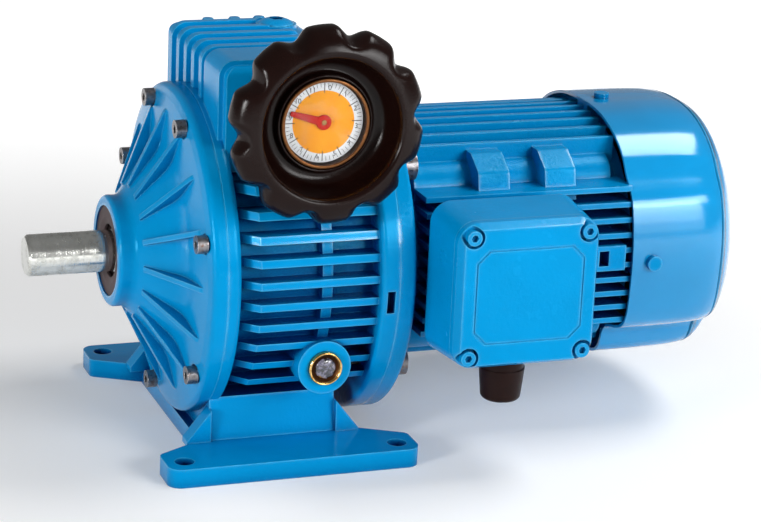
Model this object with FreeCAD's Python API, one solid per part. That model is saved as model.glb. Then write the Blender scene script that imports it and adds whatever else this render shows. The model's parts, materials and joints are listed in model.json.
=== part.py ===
import FreeCAD, Part
import math
import os

# Friction speed variator with its flange motor, in millimetres.
# X runs along the shafts: the output shaft points to -X, the motor to +X.
# The control handwheel and the terminal box face -Y, and Z points up.
# The origin is the middle of the four foot holes, on the mounting plane.

# Feet and shaft height
SHAFT_HEIGHT = 106.0
FOOT_PITCH_X = 125.0
FOOT_PITCH_Y = 186.0
FOOT_HOLE_D = 11.0
FOOT_THICK = 11.0
FOOT_EDGE = 11.0
RAIL_INNER_Y = 64.0
RAIL_TAPER_X = 28.0
RAIL_TAPER_Y = 16.0
LEG_LENGTH = 74.0
LEG_OUTER_Y = 62.0
BASE_LEAD = 5.5
BASE_THICK = 10.0

# Clearances
FACE_GAP = 0.3
RUN_GAP = 0.05
SLIDE_GAP = 0.1
PART_GAP = 0.5

# Head of a cap screw, in shank diameters
CAP_HEAD = 1.7

# Output end
COVER_FACE_X = -85.0
COVER_DEPTH = 45.0
COVER_R = 95.0
BOSS_R = 32.0
BOSS_LENGTH = 9.0
COVER_RIM = 10.0
COVER_WALL = 7.0
FLARE_SAG = 9.0
RIB_COUNT = 16
RIB_THICK = 3.0
RIB_START_R = 37.0
RIB_END_R = 82.0
RIB_LIFT = 1.5
OUTPUT_D = 24.0
OUTPUT_LENGTH = 50.0
SHOULDER_DEPTH = 3.0
SEAL_SINK = 1.0
SEAL_OD = 52.0
SEAL_WIDTH = 7.0
SEAL_WEB = 6.0
OUTPUT_BEARING = (30.0, 62.0, 16.0)
CARRIER_BEARING = (35.0, 62.0, 14.0)
BEARING_SPACE = 4.0
COVER_BOLT_D = 6.0
COVER_BOLT_R = 87.0
COVER_BOLT_ANGLES = (18.0, 66.0, 111.0, 158.0, 212.0, 260.0, 322.0)
KEY_WIDTH = 8.0
KEY_SINK = 4.0
KEYWAY_LENGTH = 36.0
KEYWAY_TURN = 52.5

# Planet stage
CARRIER_R = 64.0
CARRIER_THICK = 8.0
CARRIER_TO_PLANETS = 20.0
PLANETS = 5
PLANET_ORBIT = 45.0
PLANET_R = 22.0
PLANET_HUB_R = 8.0
PLANET_RIM = 4.0
CONE_SLOPE = 0.25
PLANET_TRAVEL = 6.0
PIN_D = 10.0
BLOCK_WIDTH = 12.0
BLOCK_LENGTH = 14.0
BLOCK_THICK = 5.0
SUN_CONTACT_R = 30.0
SUN_THICK = 7.0
SLEEVE_R = 15.0
RING_CONTACT_R = 60.0
RING_BORE_R = 58.0
RING_THICK = 8.0
FIXED_RING_THICK = 12.0
SPRING_R = 26.0
SPRING_COUNT = 4
SPRING_THICK = 1.0
COLLAR_THICK = 2.0

# Control gear
BALL_R = 5.0
BALLS = 3
BALL_ORBIT = 68.0
RAMP_RISE = 4.0
RAMP_WIDTH = 10.0
CONTROL_RING_THICK = 6.5
WASHER_THICK = 2.0
SCREW_X = 9.0
SCREW_RISE = 97.0
SCREW_D = 16.0
JOURNAL_D = 14.0
NUT_TRAVEL = 18.0
NUT_LENGTH = 24.0
NUT_HEIGHT = 20.0
DRIVE_PIN_D = 8.0
DRIVE_SLOT_GAP = 0.5

# Casing
CASING_LENGTH = 97.5
BORE_R = 77.0
DRUM_R = 83.0
FIN_R = 94.0
FIN_COUNT = 11
FIN_PITCH = 12.5
FIN_THICK = 4.5
FIN_LOW_Z = -59.0
FIN_CHAMFER = 11.0
BAND_WIDTH = 8.0
FLANGE_R = 100.0
FLANGE_THICK = 10.0
CROSS_RIB_X = 19.0
KEY_R = 4.0
REAR_WALL = 12.0
HUB_WALL = 8.0
TURRET_FRONT_X = -34.0
TURRET_BACK_X = 47.0
TURRET_NEAR_Y = 60.0
TURRET_FAR_Y = 60.0
TURRET_TOP_Z = 119.0
TURRET_WALL = 8.0
TURRET_ROOF = 5.0
BUSH_STAND = 2.0
BUSH_FLANGE = 4.0
TURRET_RIB = 3.0
TURRET_RIB_THICK = 5.0
TURRET_RIB_PITCH = 15.5
TURRET_RIBS = 5
TURRET_RIB_LAST_Y = 44.0
TURRET_BLOCK_Y = 26.0
TURRET_EDGE = 5.0
SIGHT_X = 18.0
SIGHT_Z = -47.0
SIGHT_BOSS_R = 15.5
SIGHT_FACE_Y = 91.0
SIGHT_D = 18.0
FILLER_X = 24.0
FILLER_Y = 36.0
PLUG_D = 16.0
PLUG_HEAD = 3.5
PLUG_REACH = 8.0
PLUG_BOSS = 2.0
BUMPS_X = (-13.0, 3.0, 18.0)
BUMPS_Y = 50.0
BUMP_R = 4.0
BUMP_RISE = 3.0

# Handwheel and its indicator
WHEEL_R = 55.0
WHEEL_LOBES = 10
WHEEL_PHASE = 5.0
NOTCH_R = 8.0
NOTCH_DEPTH = 5.5
RIM_FRONT = 57.0
RIM_BACK = 35.0
HUB_BACK = 6.0
HUB_R = 17.0
WEB_FRONT = 31.0
WEB_BACK = 23.0
DISH_R = 39.0
CASE_R = 25.5
CASE_WALL = 2.0
CASE_FRONT = 44.0
DIAL_PLANE = 38.0
DIAL_THICK = 1.0
GLASS_THICK = 1.5
POINTER_LENGTH = 20.0
POINTER_TURN = 17.0
POINTER_HUB_R = 4.2
ARBOR_R = 1.5
POST_R = 2.0
GEAR_R = 18.0
GEAR_THICK = 1.3

# Motor
SPIGOT_R = 65.0
SPIGOT_LENGTH = 3.5
MOTOR_SHAFT_D = 24.0
MOTOR_SHAFT_LENGTH = 50.0
FLANGE_BOLT_R = 82.5
FLANGE_BOLT_D = 10.0
FRAME_LENGTH = 139.0
FRAME_R = 67.5
FRAME_WALL = 5.5
FRAME_CORNER = 14.0
TOP_FIN_Z = 72.8
TOP_FIN_HALF_Y = 46.0
TOP_FINS = 9
BOTTOM_FIN_Z = 66.0
BOTTOM_FIN_HALF_Y = 42.0
SIDE_FIN_Y = 83.0
SIDE_FIN_LOW_Z = -38.0
SIDE_FIN_HIGH_Z = 44.0
SIDE_FINS = 10
FRAME_HALF_Y = 57.0
FRAME_HALF_Z = 56.0
MOTOR_FIN_THICK = 3.2
FIN_SAG = 0.0036
PAD_STARTS = (114.0, 155.0)
PAD_LENGTH = 19.0
STATOR_LENGTH = 66.0
STATOR_LEAD = 24.0
STATOR_BORE_R = 37.0
AIR_GAP = 0.5
WINDING_LENGTH = 16.0
DRIVE_BEARING = (25.0, 52.0, 15.0)
FAN_BEARING = (20.0, 47.0, 14.0)
COWL_OVERLAP = 4.0
COWL_LENGTH = 89.0
COWL_TOP_Z = 77.0
COWL_TOP_EDGE_Z = 65.0
COWL_TOP_Y = 61.0
COWL_SIDE_Y = 86.5
COWL_SIDE_HIGH_Z = 49.5
COWL_SIDE_LOW_Z = 41.5
COWL_STEP_Z = 48.5
COWL_BOTTOM_Y = 48.0
COWL_BOTTOM_EDGE_Z = 66.0
COWL_BOTTOM_Z = 72.0
COWL_BEND = 9.0
COWL_WAIST = 4.0
COWL_SHEET = 2.0
COWL_KNUCKLE = 42.0
COWL_SLOPE = 18.0
COWL_CROWN_R = 30.0
COWL_CROWN = 50.0
COWL_SHOULDER = 15.0
COWL_BELLY = 20.0
FAN_R = 60.0
FAN_BLADES = 8
FAN_WIDTH = 22.0

# Terminal box
BOX_X = 118.0
BOX_Z = 4.5
BOX_LENGTH = 88.0
BOX_HEIGHT = 88.0
BOX_SEAT_Y = 98.0
BOX_FRONT_Y = 131.0
LID_FRONT_Y = 140.0
BOX_DRAFT = 2.5
BOX_ROUND = 12.0
BOX_NECK = 66.0
BOX_WALL = 4.0
LID_INSET_X = 10.0
LID_INSET_Z = 9.5
GLAND_X = 114.0
GLAND_Y = 117.0
GLAND_R = 13.0
GLAND_LENGTH = 24.0
GLAND_COLLAR = 5.0
CABLE_R = 5.5

V = FreeCAD.Vector
ALONG = V(1, 0, 0)
ACROSS = V(0, 1, 0)
UP = V(0, 0, 1)

# Stations along the shaft, from the output end to the motor
COVER_BACK = COVER_FACE_X + COVER_DEPTH
SEAL_X = COVER_FACE_X + SEAL_SINK
BEARING_1_X = SEAL_X + SEAL_WIDTH + SEAL_WEB
BEARING_2_X = BEARING_1_X + OUTPUT_BEARING[2] + BEARING_SPACE
CARRIER_X = BEARING_2_X + CARRIER_BEARING[2] + BEARING_SPACE
PLANET_X = CARRIER_X + CARRIER_THICK + CARRIER_TO_PLANETS
CONTACT_RHO = RING_CONTACT_R - PLANET_ORBIT
CONTACT_HALF = PLANET_RIM / 2 + (PLANET_R - CONTACT_RHO) * CONE_SLOPE
PLANET_HUB_HALF = PLANET_RIM / 2 + (PLANET_R - PLANET_HUB_R) * CONE_SLOPE
RING_TRAVEL = 2 * PLANET_TRAVEL * CONE_SLOPE
FIXED_RING_BACK = PLANET_X - CONTACT_HALF - FACE_GAP
FIXED_RING_FRONT = FIXED_RING_BACK - FIXED_RING_THICK
RING_FRONT = PLANET_X + CONTACT_HALF + FACE_GAP
RING_BACK = RING_FRONT + RING_THICK
CONTROL_ANGLE = NUT_TRAVEL / SCREW_RISE
RAMP_SLOPE = RING_TRAVEL / (BALL_ORBIT * CONTROL_ANGLE)
BALL_X = RING_BACK + RAMP_RISE + (BALL_R + FACE_GAP) * math.hypot(1, RAMP_SLOPE)
RAMP_HALF = BALL_ORBIT * CONTROL_ANGLE + 2.0
RAMP_TOP = RING_BACK + RAMP_RISE + RAMP_HALF * RAMP_SLOPE
CONTROL_RING_X = RAMP_TOP + RING_TRAVEL + 1.0
CONTROL_RING_BACK = CONTROL_RING_X + CONTROL_RING_THICK
WASHER_X = CONTROL_RING_BACK + FACE_GAP
WALL_X = WASHER_X + WASHER_THICK
CASING_BACK = COVER_BACK + CASING_LENGTH
INPUT_BEARING_X = WALL_X + 2.0
SUN_BACK = RING_FRONT + SUN_THICK
SLIDING_SUN_FRONT = FIXED_RING_BACK - SUN_THICK
COLLAR_X = CARRIER_X + CARRIER_THICK + PART_GAP
FLANGE_BACK = CASING_BACK + FLANGE_THICK
HEADS_BACK = FLANGE_BACK + FLANGE_BOLT_D + 2.0
FRAME_BACK = FLANGE_BACK + FRAME_LENGTH
FRAME_BORE_R = FRAME_R - FRAME_WALL
STATOR_X = FLANGE_BACK + STATOR_LEAD
STATOR_BACK = STATOR_X + STATOR_LENGTH
DRIVE_BEARING_X = CASING_BACK + 6.0
FAN_BEARING_X = FRAME_BACK - 10.0
COWL_X = FRAME_BACK - COWL_OVERLAP
COWL_BACK = COWL_X + COWL_LENGTH
FAN_X = FRAME_BACK + 24.0
COWL_SCREW_X = FRAME_BACK + 12.0
COWL_FIXINGS = ((0, COWL_SIDE_Y), (90, COWL_TOP_Z), (180, COWL_SIDE_Y), (270, COWL_BOTTOM_Z))
BAND_BACK = COVER_BACK + BAND_WIDTH
FLANGE_FRONT = CASING_BACK - FLANGE_THICK
OUTPUT_TIP = COVER_FACE_X + SHOULDER_DEPTH - OUTPUT_LENGTH
MOTOR_TIP = CASING_BACK - MOTOR_SHAFT_LENGTH
NUT_HALF_X = CONTROL_RING_X - PART_GAP - SCREW_X
GEAR_FRONT = DIAL_PLANE - FACE_GAP
GEAR_BACK = GEAR_FRONT - GEAR_THICK
POINTER_BACK = DIAL_PLANE + DIAL_THICK + FACE_GAP
POINTER_FRONT = POINTER_BACK + 1.2


def at(x, y, z):
    """Point at x, with y and z counted from the shaft axis."""
    return V(x, y, SHAFT_HEIGHT + z)


def outline(corners, place):
    """Closed wire through (u, v) or (u, v, radius) corners, rounded by each radius."""
    full = [(*c, 0.0)[:3] for c in corners]
    ends = []
    for i, (u, v, radius) in enumerate(full):
        here = V(u, v, 0)
        back = V(full[i - 1][0], full[i - 1][1], 0) - here
        ahead = V(full[(i + 1) % len(full)][0], full[(i + 1) % len(full)][1], 0) - here
        if radius == 0:
            ends.append((here, None, here))
            continue
        half = back.getAngle(ahead) / 2
        back.normalize()
        ahead.normalize()
        reach = radius / math.tan(half)
        middle = (back + ahead).normalize() * (radius / math.sin(half) - radius)
        ends.append((here + back * reach, here + middle, here + ahead * reach))
    edges = []
    for i, (first, middle, last) in enumerate(ends):
        if middle is not None:
            points = [place(p.x, p.y) for p in (first, middle, last)]
            edges.append(Part.Arc(*points).toShape())
        following = ends[(i + 1) % len(ends)][0]
        if last.distanceToPoint(following) > 1e-6:
            edges.append(Part.makeLine(place(last.x, last.y), place(following.x, following.y)))
    return Part.Wire(edges)


def turned(*corners):
    """Solid of revolution about the shaft axis from (x, r) corners."""
    face = Part.Face(outline(corners, lambda x, r: at(x, 0, r)))
    return face.revolve(at(0, 0, 0), ALONG, 360)


def turned_on_screw(*corners):
    """Solid about the control screw from (u, r) corners; u runs out of the turret to -Y."""
    face = Part.Face(outline(corners, lambda u, r: at(SCREW_X, -TURRET_NEAR_Y - u, SCREW_RISE + r)))
    return face.revolve(at(SCREW_X, 0, SCREW_RISE), ACROSS, 360)


def ring(x0, x1, outer, inner=0.0):
    """Tube about the shaft axis."""
    body = Part.makeCylinder(outer, x1 - x0, at(x0, 0, 0), ALONG)
    if inner > 0:
        body = body.cut(Part.makeCylinder(inner, x1 - x0, at(x0, 0, 0), ALONG))
    return body


def box(x0, x1, y0, y1, z0, z1):
    """Block between two corners, y and z counted from the shaft axis."""
    return Part.makeBox(x1 - x0, y1 - y0, z1 - z0, at(x0, y0, z0))


def rod(diameter, start, way, length):
    """Cylinder from a point along a direction."""
    return Part.makeCylinder(diameter / 2, length, start, way)


def hexagon(flats, start, way, length):
    """Six-sided prism, measured across its flats."""
    radius = flats / math.sqrt(3)
    corners = [(radius * math.cos(k * math.pi / 3), radius * math.sin(k * math.pi / 3)) for k in range(6)]
    prism = Part.Face(outline(corners, lambda u, v: V(u, v, 0))).extrude(V(0, 0, length))
    prism.Placement = FreeCAD.Placement(start, FreeCAD.Rotation(UP, way))
    return prism


def prism_x(x0, x1, corners):
    """Outline of (y, z) corners drawn out along X."""
    face = Part.Face(outline(corners, lambda y, z: at(x0, y, z)))
    return face.extrude(V(x1 - x0, 0, 0))


def around(shape, degrees):
    """Copy turned about the shaft axis, positive from -Y towards +Z."""
    turned_copy = shape.copy()
    turned_copy.rotate(at(0, 0, 0), ALONG, -degrees)
    return turned_copy


def spread(shape, count, phase=0.0):
    """Equal copies about the shaft axis."""
    return [around(shape, phase + k * 360.0 / count) for k in range(count)]


def joined(shapes):
    """One solid from touching shapes."""
    return shapes[0].multiFuse(shapes[1:]).removeSplitter()


def both_sides(shape):
    """A shape and its mirror image across the XZ plane."""
    return [shape, shape.mirror(V(0, 0, 0), ACROSS)]


def cap_screw(seat, way, diameter, length):
    """Socket-head screw: the head stands on its seat and the shank runs along way."""
    head = rod(CAP_HEAD * diameter, seat, way * -1, diameter)
    shank = rod(diameter, seat, way, length)
    socket = hexagon(0.75 * diameter, seat - way * diameter, way, 0.55 * diameter)
    return joined([head, shank]).cut(socket)


def save(name, *solids):
    """Write one node, as one solid or as a group of separate solids."""
    shape = solids[0] if len(solids) == 1 else Part.makeCompound(list(solids))
    shape.exportStep("parts/" + name + ".step")


# Variator housing

def foot_rail():
    """Rail under the near leg, with its two bolt holes and tapered ends."""
    end = FOOT_PITCH_X / 2 + FOOT_EDGE
    outer = -FOOT_PITCH_Y / 2 - FOOT_EDGE - 1.0
    tip = -RAIL_INNER_Y - RAIL_TAPER_Y
    corners = [
        (-end, outer, 8), (end, outer, 8), (end, tip, 5), (end - RAIL_TAPER_X, -RAIL_INNER_Y, 6),
        (RAIL_TAPER_X - end, -RAIL_INNER_Y, 6), (-end, tip, 5),
    ]
    face = Part.Face(outline(corners, lambda x, y: V(x, y, 0)))
    rail = face.extrude(V(0, 0, FOOT_THICK))
    for x in (-FOOT_PITCH_X / 2, FOOT_PITCH_X / 2):
        rail = rail.cut(rod(FOOT_HOLE_D, V(x, -FOOT_PITCH_Y / 2, 0), UP, FOOT_THICK))
    return rail


def leg():
    """Near half of the pedestal, with the base plate and a brace at each end."""
    floor = -SHAFT_HEIGHT
    drop = math.sqrt(FIN_R ** 2 - LEG_OUTER_Y ** 2)
    x1 = COVER_BACK + LEG_LENGTH
    wall = prism_x(COVER_BACK, x1, [
        (-LEG_OUTER_Y, -drop), (-RAIL_INNER_Y - 4.0, floor), (0, floor), (0, -drop),
    ])
    base = box(COVER_BACK - BASE_LEAD, x1, -RAIL_INNER_Y - 4.0, 0, floor, floor + BASE_THICK)
    top = floor + FOOT_THICK
    crest = -math.sqrt((COVER_R + 1.0) ** 2 - (RAIL_INNER_Y - 6.0) ** 2)
    brace = []
    for x, reach in ((COVER_BACK, -14.0), (x1, 14.0)):
        corners = [(x, crest), (x, top - 2.0), (x + reach, top - 2.0), (x + reach, top + 1.0)]
        face = Part.Face(outline(corners, lambda u, v: at(u, -RAIL_INNER_Y - 4.0, v)))
        brace.append(face.extrude(V(0, 10.0, 0)))
    return joined([wall, base] + brace)


def drum_fins():
    """Level fins on both sides, cut from a ring that is bevelled at the cover end."""
    low = DRUM_R - 2.0
    blank = turned(
        (BAND_BACK - 1.0, low), (BAND_BACK - 1.0, FIN_R - FIN_CHAMFER), (BAND_BACK + FIN_CHAMFER, FIN_R),
        (FLANGE_FRONT + 1.0, FIN_R), (FLANGE_FRONT + 1.0, low),
    )
    levels = [FIN_LOW_Z + k * FIN_PITCH for k in range(FIN_COUNT)]
    half = FIN_THICK / 2
    slabs = [box(BAND_BACK - 1.0, FLANGE_FRONT + 1.0, -FIN_R, FIN_R, z - half, z + half) for z in levels]
    web = ring(CROSS_RIB_X - 3.0, CROSS_RIB_X + 3.0, DRUM_R + 5.0, low)
    web = web.common(box(-FIN_R, FIN_R, -FIN_R, FIN_R, levels[0], levels[-1]))
    return joined([blank.common(Part.makeCompound(slabs)), web])


def turret():
    """Control housing on top of the drum, ribbed over its front and its top."""
    low = 60.0
    top = TURRET_TOP_Z
    side = [(TURRET_FRONT_X, low), (TURRET_FRONT_X, top, 7), (TURRET_BACK_X, top, 14), (TURRET_BACK_X, low)]
    along = Part.Face(outline(side, lambda x, z: at(x, -TURRET_NEAR_Y, z)))
    along = along.extrude(V(0, TURRET_NEAR_Y + TURRET_FAR_Y, 0))
    across = prism_x(TURRET_FRONT_X, TURRET_BACK_X, [
        (-TURRET_NEAR_Y, low), (-TURRET_NEAR_Y, top, TURRET_EDGE), (TURRET_FAR_Y, top, TURRET_EDGE),
        (TURRET_FAR_Y, low),
    ])
    body = along.common(across)
    ridge = [
        (TURRET_FRONT_X - TURRET_RIB, low + 15.0), (TURRET_FRONT_X - TURRET_RIB, top + TURRET_RIB, 9),
        (TURRET_BACK_X - 18.0, top + TURRET_RIB, 3), (TURRET_BACK_X - 12.0, low + 15.0),
    ]
    face = Part.Face(outline(ridge, lambda x, z: at(x, TURRET_RIB_LAST_Y - TURRET_RIB_THICK / 2, z)))
    rib = face.extrude(V(0, TURRET_RIB_THICK, 0))
    ribs = [rib.translated(V(0, -k * TURRET_RIB_PITCH, 0)) for k in range(TURRET_RIBS)]
    face = Part.Face(outline(ridge, lambda x, z: at(x, TURRET_EDGE - TURRET_NEAR_Y, z)))
    ribs.append(face.extrude(V(0, TURRET_NEAR_Y - TURRET_EDGE - TURRET_BLOCK_Y, 0)))
    clear = ring(TURRET_FRONT_X - 2 * TURRET_RIB, COVER_BACK, COVER_R + 1.0)
    return joined([body] + [r.cut(clear) for r in ribs])


def turret_hollow():
    """Space for the nut, the slot for the control ring's arm and the screw bores."""
    x0 = SCREW_X - NUT_HALF_X - 3.0
    hollow = box(
        x0, WALL_X, TURRET_WALL - TURRET_NEAR_Y, TURRET_FAR_Y - TURRET_WALL,
        DRUM_R + 2.0, TURRET_TOP_Z - TURRET_ROOF,
    )
    slot = box(CONTROL_RING_X - 1.0, WALL_X, -34.0, 34.0, BORE_R - 12.0, DRUM_R + 3.0)
    across = TURRET_NEAR_Y + TURRET_FAR_Y
    bore = rod(JOURNAL_D + 8.0, at(SCREW_X, -TURRET_NEAR_Y, SCREW_RISE), ACROSS, across)
    return [hollow, slot, bore]


def casing_bore():
    """Inside of the drum: ring bore, bearing hub and the recess for the motor spigot."""
    bearing_r = CARRIER_BEARING[1] / 2
    bearing_end = INPUT_BEARING_X + CARRIER_BEARING[2]
    hub_end = bearing_end + 3.0
    front = ring(COVER_BACK, WALL_X, BORE_R)
    rear = ring(WALL_X + REAR_WALL, CASING_BACK, SPIGOT_R, bearing_r + HUB_WALL)
    mouth = ring(hub_end, CASING_BACK, SPIGOT_R)
    bore = ring(INPUT_BEARING_X, hub_end, bearing_r)
    neck = ring(WALL_X, INPUT_BEARING_X, bearing_r - 4.0)
    return [front, rear, mouth, bore, neck]


def casing():
    """Finned drum with its feet, its control turret and its gauge bosses."""
    drum = ring(COVER_BACK, CASING_BACK, DRUM_R)
    band = turned((COVER_BACK, 70), (COVER_BACK, COVER_R), (BAND_BACK, COVER_R, 4), (BAND_BACK, 70))
    flange = turned(
        (FLANGE_FRONT, 70), (FLANGE_FRONT, FLANGE_R, 2.5), (CASING_BACK, FLANGE_R), (CASING_BACK, 70),
    )
    gauge = rod(2 * SIGHT_BOSS_R, at(SIGHT_X, -SIGHT_FACE_Y, SIGHT_Z), ACROSS, SIGHT_FACE_Y - 60.0)
    roof = TURRET_TOP_Z - TURRET_ROOF
    plug_boss = rod(PLUG_D + 8.0, at(FILLER_X, FILLER_Y, roof), UP, TURRET_ROOF + PLUG_BOSS)
    tall = TURRET_ROOF + BUMP_RISE
    bumps = [Part.makeCone(2 * BUMP_R, BUMP_R - 1.0, tall, at(x, BUMPS_Y, roof)) for x in BUMPS_X]
    feet = both_sides(leg()) + both_sides(foot_rail()) + both_sides(gauge)
    body = joined([drum, band, flange, drum_fins(), turret(), plug_boss] + bumps + feet)
    body = body.cut(Part.makeCompound(turret_hollow()))
    body = body.cut(Part.makeCompound(casing_bore()))
    key = rod(2 * KEY_R, at(FIXED_RING_BACK, -BORE_R, 0), ALONG, CONTROL_RING_X - 2.0 - FIXED_RING_BACK)
    body = joined([body] + spread(key, 3, 30.0))
    filler = at(FILLER_X, FILLER_Y, TURRET_TOP_Z - TURRET_ROOF - 4.0)
    holes = [rod(PLUG_D, filler, UP, TURRET_ROOF + PLUG_BOSS + 4.0)]
    holes.append(rod(PLUG_D + 8.0, at(FILLER_X, FILLER_Y, TURRET_TOP_Z + PLUG_BOSS), UP, PLUG_HEAD))
    holes.append(rod(SIGHT_D, at(SIGHT_X, -SIGHT_FACE_Y, SIGHT_Z), ACROSS, 12.0))
    holes.append(rod(PLUG_D, at(SIGHT_X, SIGHT_FACE_Y, SIGHT_Z), ACROSS * -1, 12.0))
    holes += both_sides(rod(SIGHT_D - 6.0, at(SIGHT_X, -SIGHT_FACE_Y, SIGHT_Z), ACROSS, 36.0))
    holes += on_cover(rod(COVER_BOLT_D, at(COVER_BACK, -COVER_BOLT_R, 0), ALONG, BAND_WIDTH))
    holes += spread(rod(FLANGE_BOLT_D, at(CASING_BACK - 15.0, -FLANGE_BOLT_R, 0), ALONG, 15.0), 4, 45.0)
    holes.append(box(CASING_BACK - 7.0, CASING_BACK - 2.5, -FLANGE_R - 1.0, -FLANGE_R + 9.0, -15.0, -2.0))
    return body.cut(Part.makeCompound(holes))


def flare_corners():
    """Outer profile of the flare as (x, r): boss end, waist and rim end."""
    boss_x = COVER_FACE_X + BOSS_LENGTH
    rim_x = COVER_BACK - COVER_RIM
    waist_x = (boss_x + rim_x) / 2 + 0.9 * FLARE_SAG
    waist_r = (BOSS_R + COVER_R) / 2 - 0.4 * FLARE_SAG
    return (boss_x, BOSS_R), (waist_x, waist_r), (rim_x, COVER_R - 7.0)


def cover_rib():
    """Thin gusset that spans the hollow of the flare like a chord."""
    boss, waist, rim = flare_corners()
    start_x = boss[0] + (waist[0] - boss[0]) * (RIB_START_R - boss[1]) / (waist[1] - boss[1])
    end_x = waist[0] + (rim[0] - waist[0]) * (RIB_END_R - waist[1]) / (rim[1] - waist[1])
    corners = [
        (start_x, RIB_START_R), (start_x - 0.5 * RIB_LIFT, RIB_START_R + RIB_LIFT),
        (end_x - RIB_LIFT, RIB_END_R - RIB_LIFT), (end_x, RIB_END_R),
        (end_x + COVER_WALL, RIB_END_R), (start_x + COVER_WALL, RIB_START_R),
    ]
    face = Part.Face(outline(corners, lambda x, r: at(x, -r, -RIB_THICK / 2)))
    return face.extrude(V(0, 0, RIB_THICK))


def front_cover():
    """Flared, ribbed cover that carries the output bearings and clamps the fixed ring."""
    bearing_r = OUTPUT_BEARING[1] / 2
    hub_end = BEARING_2_X + CARRIER_BEARING[2] + 2.0
    boss, waist, rim = flare_corners()
    rim_x = rim[0]
    body = turned(
        (COVER_FACE_X, SEAL_OD / 2), (COVER_FACE_X, BOSS_R, 2.5), (*boss, 6),
        (*waist, 26), (*rim, 4), (rim_x + 2.0, COVER_R, 4),
        (COVER_BACK, COVER_R), (COVER_BACK, BORE_R), (FIXED_RING_FRONT, BORE_R),
        (FIXED_RING_FRONT, BORE_R - 5.0), (COVER_BACK - 3.0, BORE_R - 6.0, 4),
        (boss[0] + 3.0 * COVER_WALL, bearing_r + COVER_WALL + 6.0, 4),
        (BEARING_1_X + OUTPUT_BEARING[2], bearing_r + COVER_WALL, 4), (hub_end, bearing_r + COVER_WALL),
        (hub_end, bearing_r), (BEARING_1_X, bearing_r), (BEARING_1_X, SEAL_OD / 2 - 5.0),
        (SEAL_X + SEAL_WIDTH, SEAL_OD / 2 - 5.0), (SEAL_X + SEAL_WIDTH, SEAL_OD / 2),
    )
    body = joined([body] + spread(cover_rib(), RIB_COUNT))
    bore = ring(COVER_FACE_X - 1.0, SEAL_X + SEAL_WIDTH, SEAL_OD / 2)
    seat = at(rim_x - 20.0, -COVER_BOLT_R, 0)
    spot = rod(2.0 * COVER_BOLT_D, seat, ALONG, 20.0)
    hole = rod(COVER_BOLT_D + 1.0, seat, ALONG, 20.0 + COVER_RIM)
    return body.cut(Part.makeCompound(on_cover(spot) + on_cover(hole))).cut(bore)


def on_cover(shape):
    """Copies of a shape at each bolt of the cover."""
    return [around(shape, angle) for angle in COVER_BOLT_ANGLES]


def cover_bolts():
    """Cap screws round the cover's rim."""
    seat = at(COVER_BACK - COVER_RIM, -COVER_BOLT_R, 0)
    return on_cover(cap_screw(seat, ALONG, COVER_BOLT_D, COVER_RIM + BAND_WIDTH - 1.0))


def output_seal():
    """Lip seal round the output shaft."""
    x1 = SEAL_X + SEAL_WIDTH
    land = OUTPUT_BEARING[0] / 2 + FACE_GAP
    return turned(
        (SEAL_X, SEAL_OD / 2), (SEAL_X, land + 4.0), (SEAL_X + 1.0, land), (SEAL_X + 2.5, land),
        (SEAL_X + 2.5, land + 3.0), (x1 - 2.0, land + 3.0), (x1 - 3.5, land), (x1, land + 1.5),
        (x1, SEAL_OD / 2),
    )


def bearing_outer(x, size):
    """Outer ring of a shielded bearing, given as bore, outside diameter and width."""
    bore, outside, width = size
    rim = outside / 2 - 0.16 * (outside - bore)
    shield = bore / 2 + 0.15 * (outside - bore) + FACE_GAP
    x1 = x + width
    return turned(
        (x, outside / 2), (x, rim), (x + 0.5, shield), (x + 1.2, shield), (x + 1.7, rim),
        (x1 - 1.7, rim), (x1 - 1.2, shield), (x1 - 0.5, shield), (x1, rim), (x1, outside / 2),
    )


def bearing_inner(x, size):
    """Inner ring of the same bearing."""
    bore, outside, width = size
    return ring(x, x + width, bore / 2 + 0.15 * (outside - bore), bore / 2)


def screw_bush(face, way, bore_length):
    """Flanged bush in a turret wall, bored from its inner end."""
    length = TURRET_WALL + BUSH_STAND
    inner = at(SCREW_X, face, SCREW_RISE) - way * length
    body = rod(JOURNAL_D + 8.0, inner, way, length)
    body = joined([body, rod(JOURNAL_D + 16.0, at(SCREW_X, face, SCREW_RISE), way, BUSH_FLANGE)])
    return body.cut(rod(JOURNAL_D + 2 * RUN_GAP, inner, way, bore_length))


def screw_bushes():
    """Open bush behind the wheel and closed bush in the far wall."""
    length = TURRET_WALL + BUSH_STAND
    near = screw_bush(-TURRET_NEAR_Y, ACROSS * -1, length + BUSH_FLANGE)
    far = screw_bush(TURRET_FAR_Y, ACROSS, length + 1.0)
    return near, far


def sight_glass():
    """Oil level gauge: a screwed brass bezel and its lens."""
    face = SIGHT_FACE_Y
    bezel = rod(SIGHT_D, at(SIGHT_X, -face, SIGHT_Z), ACROSS, 10.0)
    bezel = joined([bezel, rod(SIGHT_D + 1.5, at(SIGHT_X, -face - 3.0, SIGHT_Z), ACROSS, 3.0)])
    bezel = bezel.cut(rod(SIGHT_D - 6.0, at(SIGHT_X, -face - 3.0, SIGHT_Z), ACROSS, 8.0))
    bezel = bezel.cut(rod(SIGHT_D - 9.0, at(SIGHT_X, -face, SIGHT_Z), ACROSS, 12.0))
    lens = rod(SIGHT_D - 6.0, at(SIGHT_X, -face - 1.5, SIGHT_Z), ACROSS, 6.5)
    return bezel, lens


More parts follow.
